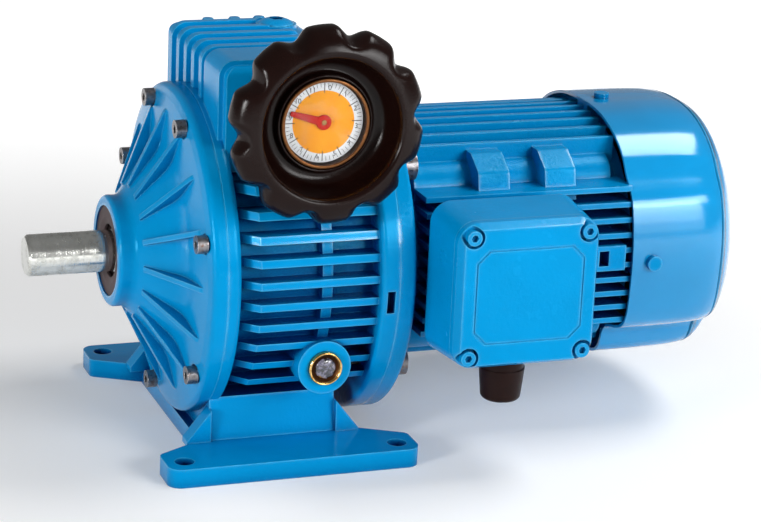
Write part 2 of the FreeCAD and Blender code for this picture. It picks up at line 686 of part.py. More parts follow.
def plug(seat, way):
    """Low domed socket plug screwed into the housing."""
    head_r = PLUG_D / 2 + 3.0
    dome_r = (head_r ** 2 + PLUG_HEAD ** 2) / (2 * PLUG_HEAD)
    dome = Part.makeSphere(dome_r, seat + way * (dome_r - PLUG_HEAD))
    head = rod(2 * head_r, seat, way * -1, PLUG_HEAD).common(dome)
    socket = hexagon(0.5 * PLUG_D, seat - way * PLUG_HEAD, way, PLUG_HEAD + 2.0)
    return joined([head, rod(PLUG_D, seat, way, PLUG_REACH)]).cut(socket)


# Planet stage

def output_shaft():
    """Output shaft with its seal land, bearing seats and carrier journal."""
    r = OUTPUT_D / 2
    shoulder = COVER_FACE_X + SHOULDER_DEPTH
    seat_1 = OUTPUT_BEARING[0] / 2
    seat_2 = CARRIER_BEARING[0] / 2
    collar_x = BEARING_2_X + CARRIER_BEARING[2]
    shaft = turned(
        (OUTPUT_TIP, 0), (OUTPUT_TIP, r - 1.5), (OUTPUT_TIP + 1.5, r), (shoulder, r),
        (shoulder + 3.0, seat_1),
        (BEARING_1_X + OUTPUT_BEARING[2], seat_1), (BEARING_1_X + OUTPUT_BEARING[2], seat_2),
        (collar_x, seat_2), (collar_x, seat_2 + 4.0), (CARRIER_X, seat_2 + 4.0), (CARRIER_X, seat_1),
        (CARRIER_X + CARRIER_THICK, seat_1), (CARRIER_X + CARRIER_THICK, 0),
    )
    return shaft.cut(output_keyway())


def output_keyway():
    """Round-ended keyway low on the far side of the output shaft, for the driven part's key."""
    half = KEY_WIDTH / 2
    y0 = OUTPUT_D / 2 - KEY_SINK
    x0 = OUTPUT_TIP + 6.0 + half
    x1 = x0 + KEYWAY_LENGTH - KEY_WIDTH
    ends = [rod(KEY_WIDTH, at(x, y0, 0), ACROSS, 2 * KEY_SINK) for x in (x0, x1)]
    return around(joined([box(x0, x1, y0, y0 + 2 * KEY_SINK, -half, half)] + ends), KEYWAY_TURN)


def planet_carrier():
    """Disc with radial slots for the pin blocks."""
    x1 = CARRIER_X + CARRIER_THICK
    disc = ring(CARRIER_X, x1, CARRIER_R, OUTPUT_BEARING[0] / 2)
    reach = PLANET_TRAVEL + BLOCK_LENGTH / 2 + PART_GAP
    half = BLOCK_WIDTH / 2 + SLIDE_GAP
    slot = box(CARRIER_X, x1, -PLANET_ORBIT - reach, -PLANET_ORBIT + reach, -half, half)
    return disc.cut(Part.makeCompound(spread(slot, PLANETS, 90.0)))


def planet_pin():
    """Sliding block with the journal of one planet."""
    x0 = CARRIER_X + (CARRIER_THICK - BLOCK_THICK) / 2
    half = BLOCK_WIDTH / 2
    end = PLANET_X + PLANET_HUB_HALF + 2.5
    long = BLOCK_LENGTH / 2
    block = box(x0, x0 + BLOCK_THICK, -PLANET_ORBIT - long, -PLANET_ORBIT + long, -half, half)
    journal = rod(PIN_D, at(x0, -PLANET_ORBIT, 0), ALONG, end - x0)
    neck = CARRIER_X + CARRIER_THICK + PLANET_TRAVEL * CONE_SLOPE + PART_GAP
    stop = PLANET_X - PLANET_HUB_HALF - FACE_GAP
    shoulder = rod(PIN_D + 4.0, at(neck, -PLANET_ORBIT, 0), ALONG, stop - neck)
    cap = rod(PIN_D + 4.0, at(PLANET_X + PLANET_HUB_HALF + FACE_GAP, -PLANET_ORBIT, 0), ALONG, 2.0)
    return joined([block, journal, shoulder, cap])


def planet():
    """Double cone that rolls between the suns and the rings."""
    rim = PLANET_RIM / 2
    bore = PIN_D / 2 + RUN_GAP
    hub = PLANET_HUB_HALF
    corners = [
        (-hub, bore), (-hub, PLANET_HUB_R), (-rim, PLANET_R, 0.5), (rim, PLANET_R, 0.5),
        (hub, PLANET_HUB_R), (hub, bore),
    ]
    face = Part.Face(outline(corners, lambda x, r: at(PLANET_X + x, -PLANET_ORBIT, r)))
    return face.revolve(at(PLANET_X, -PLANET_ORBIT, 0), ALONG, 360)


def fixed_ring():
    """Outer ring with a crowned inner edge, clamped by the cover."""
    return turned(
        (FIXED_RING_FRONT, BORE_R), (FIXED_RING_FRONT, RING_BORE_R), (FIXED_RING_BACK - 2.0, RING_BORE_R),
        (FIXED_RING_BACK, RING_CONTACT_R + 0.5, 1), (FIXED_RING_BACK, BORE_R),
    )


def movable_ring():
    """Outer ring that slides on the casing keys, with the ball ramps on its back."""
    outer = BORE_R - PART_GAP
    body = turned(
        (RING_FRONT, outer), (RING_FRONT, RING_CONTACT_R + 0.5, 1), (RING_FRONT + 2.0, RING_BORE_R),
        (RING_BACK, RING_BORE_R), (RING_BACK, outer),
    )
    mid = RING_BACK + RAMP_RISE
    tilt = RAMP_HALF * RAMP_SLOPE
    corners = [
        (RING_BACK - 1.0, -RAMP_HALF), (mid + tilt, -RAMP_HALF), (mid - tilt, RAMP_HALF),
        (RING_BACK - 1.0, RAMP_HALF),
    ]
    face = Part.Face(outline(corners, lambda x, z: at(x, -BALL_ORBIT - RAMP_WIDTH / 2, z)))
    ramp = face.extrude(V(0, RAMP_WIDTH, 0)).common(ring(RING_BACK - 2.0, mid + 2 * tilt, outer))
    body = joined([body] + [around(ramp, 90.0 + k * 360.0 / BALLS) for k in range(BALLS)])
    groove = rod(2 * (KEY_R + FACE_GAP), at(RING_FRONT - 1.0, -BORE_R, 0), ALONG, 3 * RING_THICK)
    return body.cut(Part.makeCompound(spread(groove, 3, 30.0)))


def input_sleeve():
    """Sleeve on the motor shaft, with the fixed sun disc turned on it."""
    journal = CARRIER_BEARING[0] / 2
    end = INPUT_BEARING_X + CARRIER_BEARING[2] + 6.0
    bore = MOTOR_SHAFT_D / 2
    sleeve = turned(
        (COLLAR_X, 0), (COLLAR_X, SLEEVE_R), (RING_FRONT, SLEEVE_R), (RING_FRONT, SUN_CONTACT_R),
        (RING_FRONT + 1.0, SUN_CONTACT_R + 2.0), (SUN_BACK - 2.0, SUN_CONTACT_R + 2.0),
        (SUN_BACK, journal + 5.0), (SUN_BACK, journal), (end, journal), (end, bore),
        (MOTOR_TIP - PART_GAP, bore), (MOTOR_TIP - PART_GAP, 0),
    )
    return sleeve.cut(sleeve_key())


def sleeve_key():
    """Key between the motor shaft and the sleeve."""
    half = KEY_WIDTH / 2
    y0 = MOTOR_SHAFT_D / 2 - KEY_SINK
    return box(MOTOR_TIP + 5.0, CASING_BACK - 12.0, y0, y0 + KEY_SINK + 2.5, -half, half)


def sliding_sun():
    """Sun disc that the springs press against the planets."""
    bore = SLEEVE_R + RUN_GAP
    return turned(
        (SLIDING_SUN_FRONT, bore), (SLIDING_SUN_FRONT, SPRING_R + 1.0),
        (FIXED_RING_BACK - 2.0, SUN_CONTACT_R + 2.0), (FIXED_RING_BACK - 1.0, SUN_CONTACT_R + 2.0),
        (FIXED_RING_BACK, SUN_CONTACT_R), (FIXED_RING_BACK, bore),
    )


def disc_springs():
    """Stack of conical washers between the collar and the sliding sun."""
    start = COLLAR_X + COLLAR_THICK
    pitch = (SLIDING_SUN_FRONT - start) / SPRING_COUNT
    lift = pitch - SPRING_THICK - 0.1
    inner = SLEEVE_R + FACE_GAP
    stack = []
    for k in range(SPRING_COUNT):
        x = start + k * pitch + 0.05
        low, high = (x, x + lift) if k % 2 == 0 else (x + lift, x)
        stack.append(turned(
            (low, inner), (low + SPRING_THICK, inner), (high + SPRING_THICK, SPRING_R), (high, SPRING_R)))
    return stack


# Control gear

def control_ring():
    """Ring with ball cups and an arm that reaches up to the nut's drive pin."""
    outer = BORE_R - PART_GAP
    body = ring(CONTROL_RING_X, CONTROL_RING_BACK, outer, RING_BORE_R)
    cup = rod(3.2 * BALL_R, at(BALL_X - 1.0, -BALL_ORBIT, 0), ALONG, CONTROL_RING_BACK - BALL_X + 1.0)
    cup = cup.common(ring(BALL_X - 2.0, CONTROL_RING_BACK, outer))
    half = DRIVE_PIN_D / 2 + DRIVE_SLOT_GAP
    arm = box(
        CONTROL_RING_X, CONTROL_RING_BACK, -half - 6.0, half + 6.0, RING_BORE_R + 4.0, SCREW_RISE + 7.0)
    body = joined([body, arm] + spread(cup, BALLS, 90.0))
    slot = box(CONTROL_RING_X, CONTROL_RING_BACK, -half, half, SCREW_RISE - 8.0, SCREW_RISE + 8.0)
    socket = Part.makeSphere(BALL_R, at(BALL_X, -BALL_ORBIT, 0))
    return body.cut(Part.makeCompound(spread(socket, BALLS, 90.0) + [slot]))


def cam_balls():
    """Balls between the control ring's cups and the ramps."""
    return spread(Part.makeSphere(BALL_R, at(BALL_X, -BALL_ORBIT, 0)), BALLS, 90.0)


def control_screw():
    """Screw across the turret, with a journal at each end and the wheel's seat."""
    inset = TURRET_WALL + BUSH_STAND + FACE_GAP
    near = inset - TURRET_NEAR_Y
    far = TURRET_FAR_Y - inset
    thread = rod(SCREW_D, at(SCREW_X, near, SCREW_RISE), ACROSS, far - near)
    start = -TURRET_NEAR_Y - WEB_BACK - 2.0
    journal = rod(JOURNAL_D, at(SCREW_X, start, SCREW_RISE), ACROSS, TURRET_FAR_Y - start)
    return joined([thread, journal])


def control_nut():
    """Travelling nut with the drive pin on its side."""
    half = NUT_LENGTH / 2
    tall = NUT_HEIGHT / 2
    block = box(
        SCREW_X - NUT_HALF_X, SCREW_X + NUT_HALF_X, -half, half, SCREW_RISE - tall, SCREW_RISE + tall)
    pin = rod(DRIVE_PIN_D, at(SCREW_X + NUT_HALF_X - 1.0, 0, SCREW_RISE), ALONG, CONTROL_RING_THICK + 2.0)
    bore = rod(SCREW_D + 2 * SLIDE_GAP, at(SCREW_X, -half, SCREW_RISE), ACROSS, NUT_LENGTH)
    return joined([block, pin]).cut(bore)


def handwheel():
    """Dished wheel with finger notches and a pocket for the indicator."""
    body = turned_on_screw(
        (HUB_BACK, JOURNAL_D / 2), (HUB_BACK, HUB_R, 2), (WEB_BACK - 4.0, HUB_R + 1.0, 6),
        (RIM_BACK, DISH_R - 3.0, 4), (RIM_BACK, WHEEL_R, 8), (RIM_FRONT, WHEEL_R, 7),
        (RIM_FRONT, DISH_R, 3), (WEB_FRONT + 8.0, DISH_R - 3.0, 4), (WEB_FRONT + 6.0, CASE_R + 2.5, 1.5),
        (CASE_FRONT - 1.0, CASE_R + 1.5, 0.8), (CASE_FRONT - 1.0, CASE_R), (WEB_FRONT, CASE_R),
        (WEB_FRONT, 3.0), (WEB_BACK + 2.0, 3.0), (WEB_BACK + 2.0, JOURNAL_D / 2),
    )
    middle = at(SCREW_X, -TURRET_NEAR_Y - RIM_FRONT - 1.0, SCREW_RISE)
    blank = rod(2 * WHEEL_R + 2.0, middle, ACROSS, RIM_FRONT)
    pitch = WHEEL_R - NOTCH_DEPTH + NOTCH_R
    for k in range(WHEEL_LOBES):
        angle = math.radians(WHEEL_PHASE + k * 360.0 / WHEEL_LOBES)
        centre = middle + V(pitch * math.cos(angle), 0, pitch * math.sin(angle))
        blank = blank.cut(rod(2 * NOTCH_R, centre, ACROSS, RIM_FRONT))
    rim = (WHEEL_R + 1.0) * 0.96
    sharp = [e for e in blank.Edges if len(e.Vertexes) == 2 and on_wheel_rim(e, rim)]
    return body.common(blank.makeFillet(5.0, sharp))


def on_wheel_rim(edge, radius):
    """Whether an edge runs along the wheel's axis, out at its rim."""
    a, b = (v.Point for v in edge.Vertexes)
    away = math.hypot(a.x - SCREW_X, a.z - SHAFT_HEIGHT - SCREW_RISE)
    return abs(a.y - b.y) > 1.0 and away > radius


def indicator_case():
    """Cup of the indicator with its thin bezel and the post for the dial."""
    inner = CASE_R - CASE_WALL
    floor = WEB_FRONT + CASE_WALL
    return turned_on_screw(
        (WEB_FRONT, 0), (WEB_FRONT, CASE_R - FACE_GAP), (CASE_FRONT, CASE_R - FACE_GAP, 1),
        (CASE_FRONT, inner - 0.4, 0.5), (CASE_FRONT - 1.0, inner - 0.4), (CASE_FRONT - 1.0, inner),
        (floor, inner), (floor, POST_R), (GEAR_BACK - FACE_GAP, POST_R), (GEAR_BACK - FACE_GAP, 0),
    )


def indicator_glass():
    """Window held behind the bezel."""
    front = CASE_FRONT - 1.0
    inner = CASE_R - CASE_WALL
    return turned_on_screw((front - GLASS_THICK, 0), (front - GLASS_THICK, inner), (front, inner), (front, 0))


def indicator_dial():
    """Dial disc on the carriage whose weight keeps it upright on the case's post."""
    radius = CASE_R - CASE_WALL - 1.0
    bore = ARBOR_R + RUN_GAP
    front = DIAL_PLANE + DIAL_THICK
    disc = turned_on_screw((DIAL_PLANE, bore), (DIAL_PLANE, radius), (front, radius), (front, bore))
    back = WEB_FRONT + CASE_WALL + 1.0
    top = GEAR_BACK - FACE_GAP
    hub = turned_on_screw((back, POST_R + RUN_GAP), (back, 6.0), (top, 6.0), (top, POST_R + RUN_GAP))
    reach = GEAR_R + PART_GAP
    weight = turned_on_screw(
        (back, 5.0), (back, radius - 1.0), (DIAL_PLANE, radius - 1.0), (DIAL_PLANE, reach), (top, reach),
        (top, 5.0),
    )
    level = SCREW_RISE - 3.0
    near = -TURRET_NEAR_Y - CASE_FRONT
    lower = box(SCREW_X - CASE_R, SCREW_X + CASE_R, near, -TURRET_NEAR_Y, level - CASE_R, level)
    return joined([disc, hub, weight.common(lower)])


def pointer_gear():
    """Last wheel of the indicator's train, with the arbor that carries the pointer."""
    return turned_on_screw(
        (GEAR_BACK, 0), (GEAR_BACK, GEAR_R), (GEAR_FRONT, GEAR_R), (GEAR_FRONT, ARBOR_R),
        (POINTER_FRONT, ARBOR_R), (POINTER_FRONT, 0),
    )


def indicator_pointer():
    """Tapered pointer on the arbor, drawn at the middle of the control's travel."""
    hub = turned_on_screw(
        (POINTER_BACK, ARBOR_R), (POINTER_BACK, POINTER_HUB_R), (POINTER_FRONT, POINTER_HUB_R, 0.4),
        (POINTER_FRONT, ARBOR_R),
    )
    y0 = -TURRET_NEAR_Y - POINTER_BACK
    corners = [(-3.0, 2.3), (-POINTER_LENGTH, 1.3, 1.0), (-POINTER_LENGTH, -1.3, 1.0), (-3.0, -2.3)]
    face = Part.Face(outline(corners, lambda x, z: at(SCREW_X + x, y0, SCREW_RISE + z)))
    blade = face.extrude(V(0, -1.0, 0))
    blade.rotate(at(SCREW_X, 0, SCREW_RISE), ACROSS, POINTER_TURN)
    return joined([hub, blade])


# Motor

def motor_flange():
    """Drive-end shield with its mounting flange, spigots and bearing seat."""
    seat = DRIVE_BEARING[1] / 2
    end = DRIVE_BEARING_X + DRIVE_BEARING[2]
    bore = MOTOR_SHAFT_D / 2 + PART_GAP
    body = turned(
        (CASING_BACK - SPIGOT_LENGTH, bore + 18.0), (CASING_BACK - SPIGOT_LENGTH, SPIGOT_R),
        (CASING_BACK, SPIGOT_R), (CASING_BACK, FLANGE_R), (FLANGE_BACK, FLANGE_R, 2.5),
        (FLANGE_BACK, FRAME_BORE_R), (FLANGE_BACK + 5.0, FRAME_BORE_R),
        (FLANGE_BACK + 5.0, FRAME_BORE_R - 6.0),
        (FLANGE_BACK - 2.0, FRAME_BORE_R - 8.0, 4), (FLANGE_BACK - 2.0, seat + 7.0, 4), (end, seat + 6.0),
        (end, seat), (DRIVE_BEARING_X, seat), (DRIVE_BEARING_X, bore), (CASING_BACK, bore),
        (CASING_BACK, bore + 18.0),
    )
    holes = spread(rod(FLANGE_BOLT_D + 1.0, at(CASING_BACK, -FLANGE_BOLT_R, 0), ALONG, FLANGE_THICK), 4, 45.0)
    return body.cut(Part.makeCompound(holes))


def flange_bolts():
    """Cap screws that hold the motor on the casing."""
    seat = at(FLANGE_BACK, -FLANGE_BOLT_R, 0)
    return spread(cap_screw(seat, ALONG * -1, FLANGE_BOLT_D, FLANGE_THICK + 13.0), 4, 45.0)


def comb(count, low, high):
    """Middles of equal fins that fill a width."""
    pitch = (high - low - MOTOR_FIN_THICK) / (count - 1)
    return [low + MOTOR_FIN_THICK / 2 + k * pitch for k in range(count)]


def motor_fins():
    """Upright fins above and below, level fins at the sides."""
    half = MOTOR_FIN_THICK / 2
    x0 = HEADS_BACK
    x1 = FRAME_BACK
    fins = []
    for y in comb(TOP_FINS, -TOP_FIN_HALF_Y, TOP_FIN_HALF_Y):
        tip = TOP_FIN_Z - FIN_SAG * y * y
        fins.append(box(x0, x1, y - half, y + half, 0, tip))
    for y in comb(TOP_FINS, -BOTTOM_FIN_HALF_Y, BOTTOM_FIN_HALF_Y):
        tip = BOTTOM_FIN_Z - FIN_SAG * y * y
        fins.append(box(x0, x1, y - half, y + half, -tip, 0))
    for z in comb(SIDE_FINS, SIDE_FIN_LOW_Z, SIDE_FIN_HIGH_Z):
        tip = SIDE_FIN_Y - FIN_SAG * z * z
        fins.append(box(x0, x1, -tip, tip, z - half, z + half))
    return fins


def motor_frame():
    """Finned stator housing with corner pads, an earth lug and a seat for the terminal box."""
    tube = ring(FLANGE_BACK, FRAME_BACK, FRAME_R)
    square = prism_x(HEADS_BACK, COWL_X - 1.0, [
        (-FRAME_HALF_Y, FRAME_HALF_Z, FRAME_CORNER), (-FRAME_HALF_Y, -FRAME_HALF_Z, FRAME_CORNER),
        (FRAME_HALF_Y, -FRAME_HALF_Z, FRAME_CORNER), (FRAME_HALF_Y, FRAME_HALF_Z, FRAME_CORNER),
    ])
    pads = []
    for x in PAD_STARTS:
        upper = [(-46.0, 62.0), (-54.0, 62.0, 3), (-67.0, 54.0, 4), (-71.0, 36.0), (-46.0, 36.0)]
        for corners in (upper, [(c[0], -c[1], *c[2:]) for c in upper]):
            pads += both_sides(prism_x(x, x + PAD_LENGTH, corners))
    lug_x = FRAME_BACK - 24.0
    lug = box(lug_x, lug_x + 19.0, -SIDE_FIN_Y - 1.5, -FRAME_R + 4.0, -4.0, 11.0)
    body = joined([tube, square] + motor_fins() + pads + [lug])
    bore = ring(FLANGE_BACK, FRAME_BACK, FRAME_BORE_R)
    eye = box(lug_x + 2.5, lug_x + 8.5, -SIDE_FIN_Y - 2.0, -SIDE_FIN_Y + 8.0, -1.0, 8.0)
    neck = box(
        BOX_X - BOX_NECK / 2, BOX_X + BOX_NECK / 2, -BOX_SEAT_Y, -FRAME_R + 14.0,
        BOX_Z - BOX_NECK / 2, BOX_Z + BOX_NECK / 2,
    )
    head = CAP_HEAD * FLANGE_BOLT_D + 2 * PART_GAP
    pocket = rod(head, at(FLANGE_BACK, -FLANGE_BOLT_R, 0), ALONG, HEADS_BACK - FLANGE_BACK)
    return joined([body, neck]).cut(Part.makeCompound([bore, eye] + spread(pocket, 4, 45.0)))


def stator_windings():
    """Winding heads at both ends of the stator."""
    inner = STATOR_BORE_R + 3.0
    outer = FRAME_BORE_R - 5.0
    heads = []
    for x0 in (STATOR_X - WINDING_LENGTH, STATOR_BACK):
        x1 = x0 + WINDING_LENGTH
        heads.append(turned((x0, inner, 4), (x0, outer, 4), (x1, outer, 2), (x1, inner, 2)))
    return heads


def motor_shaft():
    """Motor shaft from the variator sleeve to the fan."""
    journal = DRIVE_BEARING[0] / 2
    tail = FAN_BEARING[0] / 2
    core = journal + 3.0
    x1 = DRIVE_BEARING_X + DRIVE_BEARING[2]
    fan_end = FAN_X + FAN_WIDTH
    shaft = turned(
        (MOTOR_TIP, 0), (MOTOR_TIP, MOTOR_SHAFT_D / 2 - 1.0), (MOTOR_TIP + 1.0, MOTOR_SHAFT_D / 2),
        (DRIVE_BEARING_X, MOTOR_SHAFT_D / 2), (DRIVE_BEARING_X, journal), (x1, journal), (x1, core),
        (FAN_BEARING_X, core), (FAN_BEARING_X, tail), (fan_end, tail), (fan_end, 0),
    )
    return shaft.cut(sleeve_key())


def rear_shield():
    """Fan-end shield with the bearing seat and four lugs for the cowl."""
    seat = FAN_BEARING[1] / 2
    end = FAN_BEARING_X + FAN_BEARING[2]
    body = turned(
        (FRAME_BACK - 5.0, FRAME_BORE_R - 6.0), (FRAME_BACK - 5.0, FRAME_BORE_R), (FRAME_BACK, FRAME_BORE_R),
        (FRAME_BACK, FRAME_R), (FRAME_BACK + 7.0, FRAME_R, 3), (end + 4.0, seat + 6.0, 3), (end + 4.0, 14.0),
        (end, 14.0), (end, seat), (FAN_BEARING_X, seat), (FAN_BEARING_X, seat + 6.0),
        (FRAME_BACK - 1.0, seat + 9.0),
    )
    reach = FRAME_R - 8.0
    lugs = []
    holes = []
    for angle, tip in COWL_FIXINGS:
        lug = box(FRAME_BACK, COWL_SCREW_X + 7.0, COWL_SHEET - tip, -reach, -7.0, 7.0)
        lugs.append(around(lug, angle))
        hole = rod(5.0, at(COWL_SCREW_X, -reach, 0), ACROSS * -1, tip - reach)
        holes.append(around(hole, angle))
    return joined([body] + lugs).cut(Part.makeCompound(holes))


def cowl_section(shrink):
    """Near half of the cowl's outline from top to bottom, moved inwards by shrink."""
    bend = COWL_BEND - shrink
    waist = COWL_WAIST + shrink
    top = COWL_TOP_Z - shrink
    bottom = COWL_BOTTOM_Z - shrink
    top_y = COWL_TOP_Y - shrink
    side_y = COWL_SIDE_Y - shrink
    bottom_y = COWL_BOTTOM_Y - shrink
    return [
        (-0.55 * top_y, top, 70.0), (-top_y, COWL_TOP_EDGE_Z - shrink, bend),
        (-top_y - 2.0, COWL_SIDE_HIGH_Z - shrink, waist),
        (-side_y, COWL_SIDE_HIGH_Z - shrink, COWL_SHOULDER - shrink),
        (-side_y, shrink - COWL_SIDE_LOW_Z, COWL_BELLY - shrink),
        (-bottom_y - 3.0, shrink - COWL_STEP_Z, waist),
        (-bottom_y, shrink - COWL_BOTTOM_EDGE_Z, bend), (-0.55 * bottom_y, -bottom, 40.0),
    ]


def cowl_body(back, shrink):
    """Solid cowl: the cross-shaped section, rounded off all round towards the back."""
    near = cowl_section(shrink)
    far = [(-y, z, radius) for y, z, radius in reversed(near)]
    bar = prism_x(COWL_X, back, near + far)
    wide = math.hypot(COWL_SIDE_Y, COWL_SIDE_LOW_Z) - shrink
    dome = turned(
        (COWL_X, 0), (COWL_X, wide), (back - COWL_SLOPE, wide - 4.0, COWL_KNUCKLE - shrink),
        (back, COWL_CROWN_R, COWL_CROWN - shrink), (back, 0),
    )
    return bar.common(dome)


def fan_cowl():
    """Pressed sheet cowl with rounded back and a ringed grille."""
    sheet = COWL_SHEET
    shell = cowl_body(COWL_BACK, 0.0).cut(cowl_body(COWL_BACK - sheet, sheet))
    slots = []
    for k in range(5):
        r0 = 12.0 + 9.0 * k
        slots.append(ring(COWL_BACK - COWL_SLOPE, COWL_BACK + 1.0, r0 + 5.5, r0))
    spokes = [box(COWL_BACK - COWL_SLOPE - 1.0, COWL_BACK + 2.0, -2.5, 2.5, -COWL_SIDE_Y, COWL_SIDE_Y)]
    spokes.append(around(spokes[0], 90.0))
    spokes += [around(s, 45.0) for s in spokes]
    grille = Part.makeCompound(slots).cut(Part.makeCompound(spokes))
    holes = []
    for angle, tip in COWL_FIXINGS:
        holes.append(around(rod(5.5, at(COWL_SCREW_X, 2 * sheet - tip, 0), ACROSS * -1, 3 * sheet), angle))
    return shell.cut(grille).cut(Part.makeCompound(holes))


def cowl_screws():
    """Pan-head screws round the cowl."""
    screws = []
    for angle, tip in COWL_FIXINGS:
        head = rod(9.0, at(COWL_SCREW_X, -tip, 0), ACROSS * -1, 3.0)
        shank = rod(5.0, at(COWL_SCREW_X, -tip, 0), ACROSS, 11.0)
        screws.append(around(joined([head, shank]), angle))
    return screws


def cooling_fan():
    """Radial fan on the tail of the motor shaft."""
    tail = FAN_BEARING[0] / 2
    hub = ring(FAN_X, FAN_X + FAN_WIDTH, tail + 5.0, tail)
    disc = ring(FAN_X, FAN_X + 2.5, FAN_R, tail)
    blade = box(FAN_X, FAN_X + FAN_WIDTH, -FAN_R, -tail - 3.0, -1.25, 1.25)
    return joined([hub, disc] + spread(blade, FAN_BLADES))


def box_section(y, shrink, radius):
    """Rounded rectangle of the terminal box at one depth, drawn in by its draft."""
    draw = BOX_DRAFT * (y - BOX_SEAT_Y) / (LID_FRONT_Y - BOX_SEAT_Y) + shrink
    half_x = BOX_LENGTH / 2 - draw
    half_z = BOX_HEIGHT / 2 - draw
    corners = [
        (-half_x, -half_z, radius), (half_x, -half_z, radius), (half_x, half_z, radius),
        (-half_x, half_z, radius),
    ]
    return outline(corners, lambda x, z: at(BOX_X + x, -y, BOX_Z + z))


def drafted(y0, y1, shrink=0.0, radius=BOX_ROUND):
    """Tapered block between two depths of the terminal box."""
    return Part.makeLoft([box_section(y0, shrink, radius), box_section(y1, shrink, radius)], True)


def lid_corners():
    """Places of the lid screws, as x and z."""
    reach_x = BOX_LENGTH / 2 - LID_INSET_X
    reach_z = BOX_HEIGHT / 2 - LID_INSET_Z
    return [(BOX_X + i * reach_x, BOX_Z + k * reach_z) for i in (-1, 1) for k in (-1, 1)]


def terminal_box():
    """Box on the motor's side, with screw posts and the gland hole."""
    shell = drafted(BOX_SEAT_Y, BOX_FRONT_Y)
    inside = drafted(BOX_SEAT_Y + BOX_WALL, BOX_FRONT_Y, BOX_WALL, BOX_ROUND - BOX_WALL)
    depth = BOX_FRONT_Y - BOX_SEAT_Y - 1.0
    posts = [rod(11.0, at(x, -BOX_FRONT_Y, z), ACROSS, depth).common(shell) for x, z in lid_corners()]
    body = joined([shell.cut(inside)] + posts)
    taps = [rod(5.0, at(x, -BOX_FRONT_Y, z), ACROSS, 14.0) for x, z in lid_corners()]
    entry = rod(1.5 * GLAND_R, at(GLAND_X, -GLAND_Y, BOX_Z - BOX_HEIGHT / 2 - 2.0), UP, BOX_WALL + 8.0)
    return body.cut(Part.makeCompound(taps + [entry]))


def terminal_lid():
    """Drafted lid with a bevelled rim, corner seats and a raised panel outline."""
    crown = BOX_FRONT_Y + 4.0
    skirt = drafted(BOX_FRONT_Y, crown)
    face = box_section(LID_FRONT_Y, 2.5, BOX_ROUND - 2.0)
    cap = Part.makeLoft([box_section(crown, 0.0, BOX_ROUND), face], True)
    body = joined([skirt, cap])
    body = body.cut(drafted(BOX_FRONT_Y, LID_FRONT_Y - BOX_WALL, 2.0 * BOX_WALL, 5.0))
    wide = BOX_LENGTH / 2 - 12.0
    tall = BOX_HEIGHT / 2 - 17.0
    cut = 7.0
    corners = [
        (-wide, -tall + cut), (-wide + cut, -tall), (wide - cut, -tall), (wide, -tall + cut),
        (wide, tall - cut), (wide - cut, tall), (-wide + cut, tall), (-wide, tall - cut),
    ]
    frame = Part.Face(outline(corners, lambda x, z: at(BOX_X + x, -LID_FRONT_Y, BOX_Z + z)))
    inner = [(0.97 * x, 0.97 * z) for x, z in corners]
    field = Part.Face(outline(inner, lambda x, z: at(BOX_X + x, -LID_FRONT_Y, BOX_Z + z)))
    groove = frame.cut(field).extrude(V(0, 0.5, 0))
    seats = [rod(12.0, at(x, -LID_FRONT_Y - 1.0, z), ACROSS, 5.5) for x, z in lid_corners()]
    holes = [rod(5.6, at(x, -LID_FRONT_Y, z), ACROSS, 12.0) for x, z in lid_corners()]
    depth = LID_FRONT_Y - BOX_FRONT_Y - 1.0
    posts = [rod(11.0, at(x, -LID_FRONT_Y + 1.0, z), ACROSS, depth) for x, z in lid_corners()]
    inside = drafted(BOX_FRONT_Y, LID_FRONT_Y, 1.0)
    body = joined([body] + [post.common(inside) for post in posts])
    return body.cut(Part.makeCompound(seats + holes + [groove]))


def lid_screws():
    """Socket-head screws sunk in the lid's corners."""
    return [cap_screw(at(x, -LID_FRONT_Y + 4.5, z), ACROSS, 5.0, 16.0) for x, z in lid_corners()]


def terminal_block():
    """Terminal board with six studs."""
    base = BOX_SEAT_Y + BOX_WALL
    board = box(BOX_X - 27.0, BOX_X + 27.0, -base - 12.0, -base, BOX_Z + 2.0, BOX_Z + 32.0)
    studs = []
    for i in (-1, 0, 1):
        for z in (BOX_Z + 9.0, BOX_Z + 25.0):
            studs.append(rod(4.0, at(BOX_X + 17.0 * i, -base - 10.0, z), ACROSS * -1, 14.0))
            studs.append(hexagon(7.0, at(BOX_X + 17.0 * i, -base - 12.0, z), ACROSS * -1, 3.5))
    return joined([board] + studs)


def cable_gland():
    """Cable gland under the box: threaded stem, collar and rounded nut."""
    depth = GLAND_Y - BOX_SEAT_Y
    draw = BOX_DRAFT * depth / (LID_FRONT_Y - BOX_SEAT_Y)
    seat = at(GLAND_X, -GLAND_Y, BOX_Z - BOX_HEIGHT / 2 + draw - 0.8)
    down = UP * -1
    stem = rod(1.5 * GLAND_R, seat, UP, BOX_WALL + 5.0)
    collar = rod(1.9 * GLAND_R, seat, down, GLAND_COLLAR)
    top = seat + down * GLAND_COLLAR
    nut = Part.makeCone(GLAND_R, 0.86 * GLAND_R, GLAND_LENGTH - GLAND_COLLAR, top, down)
    foot = [edge for edge in nut.Edges if edge.BoundBox.ZMax < seat.z - GLAND_LENGTH + 0.5]
    bore = rod(2 * CABLE_R, seat + UP * 20.0, down, GLAND_LENGTH + 30.0)
    return joined([stem, collar, nut.makeFillet(3.0, foot)]).cut(bore)


os.makedirs("parts", exist_ok=True)

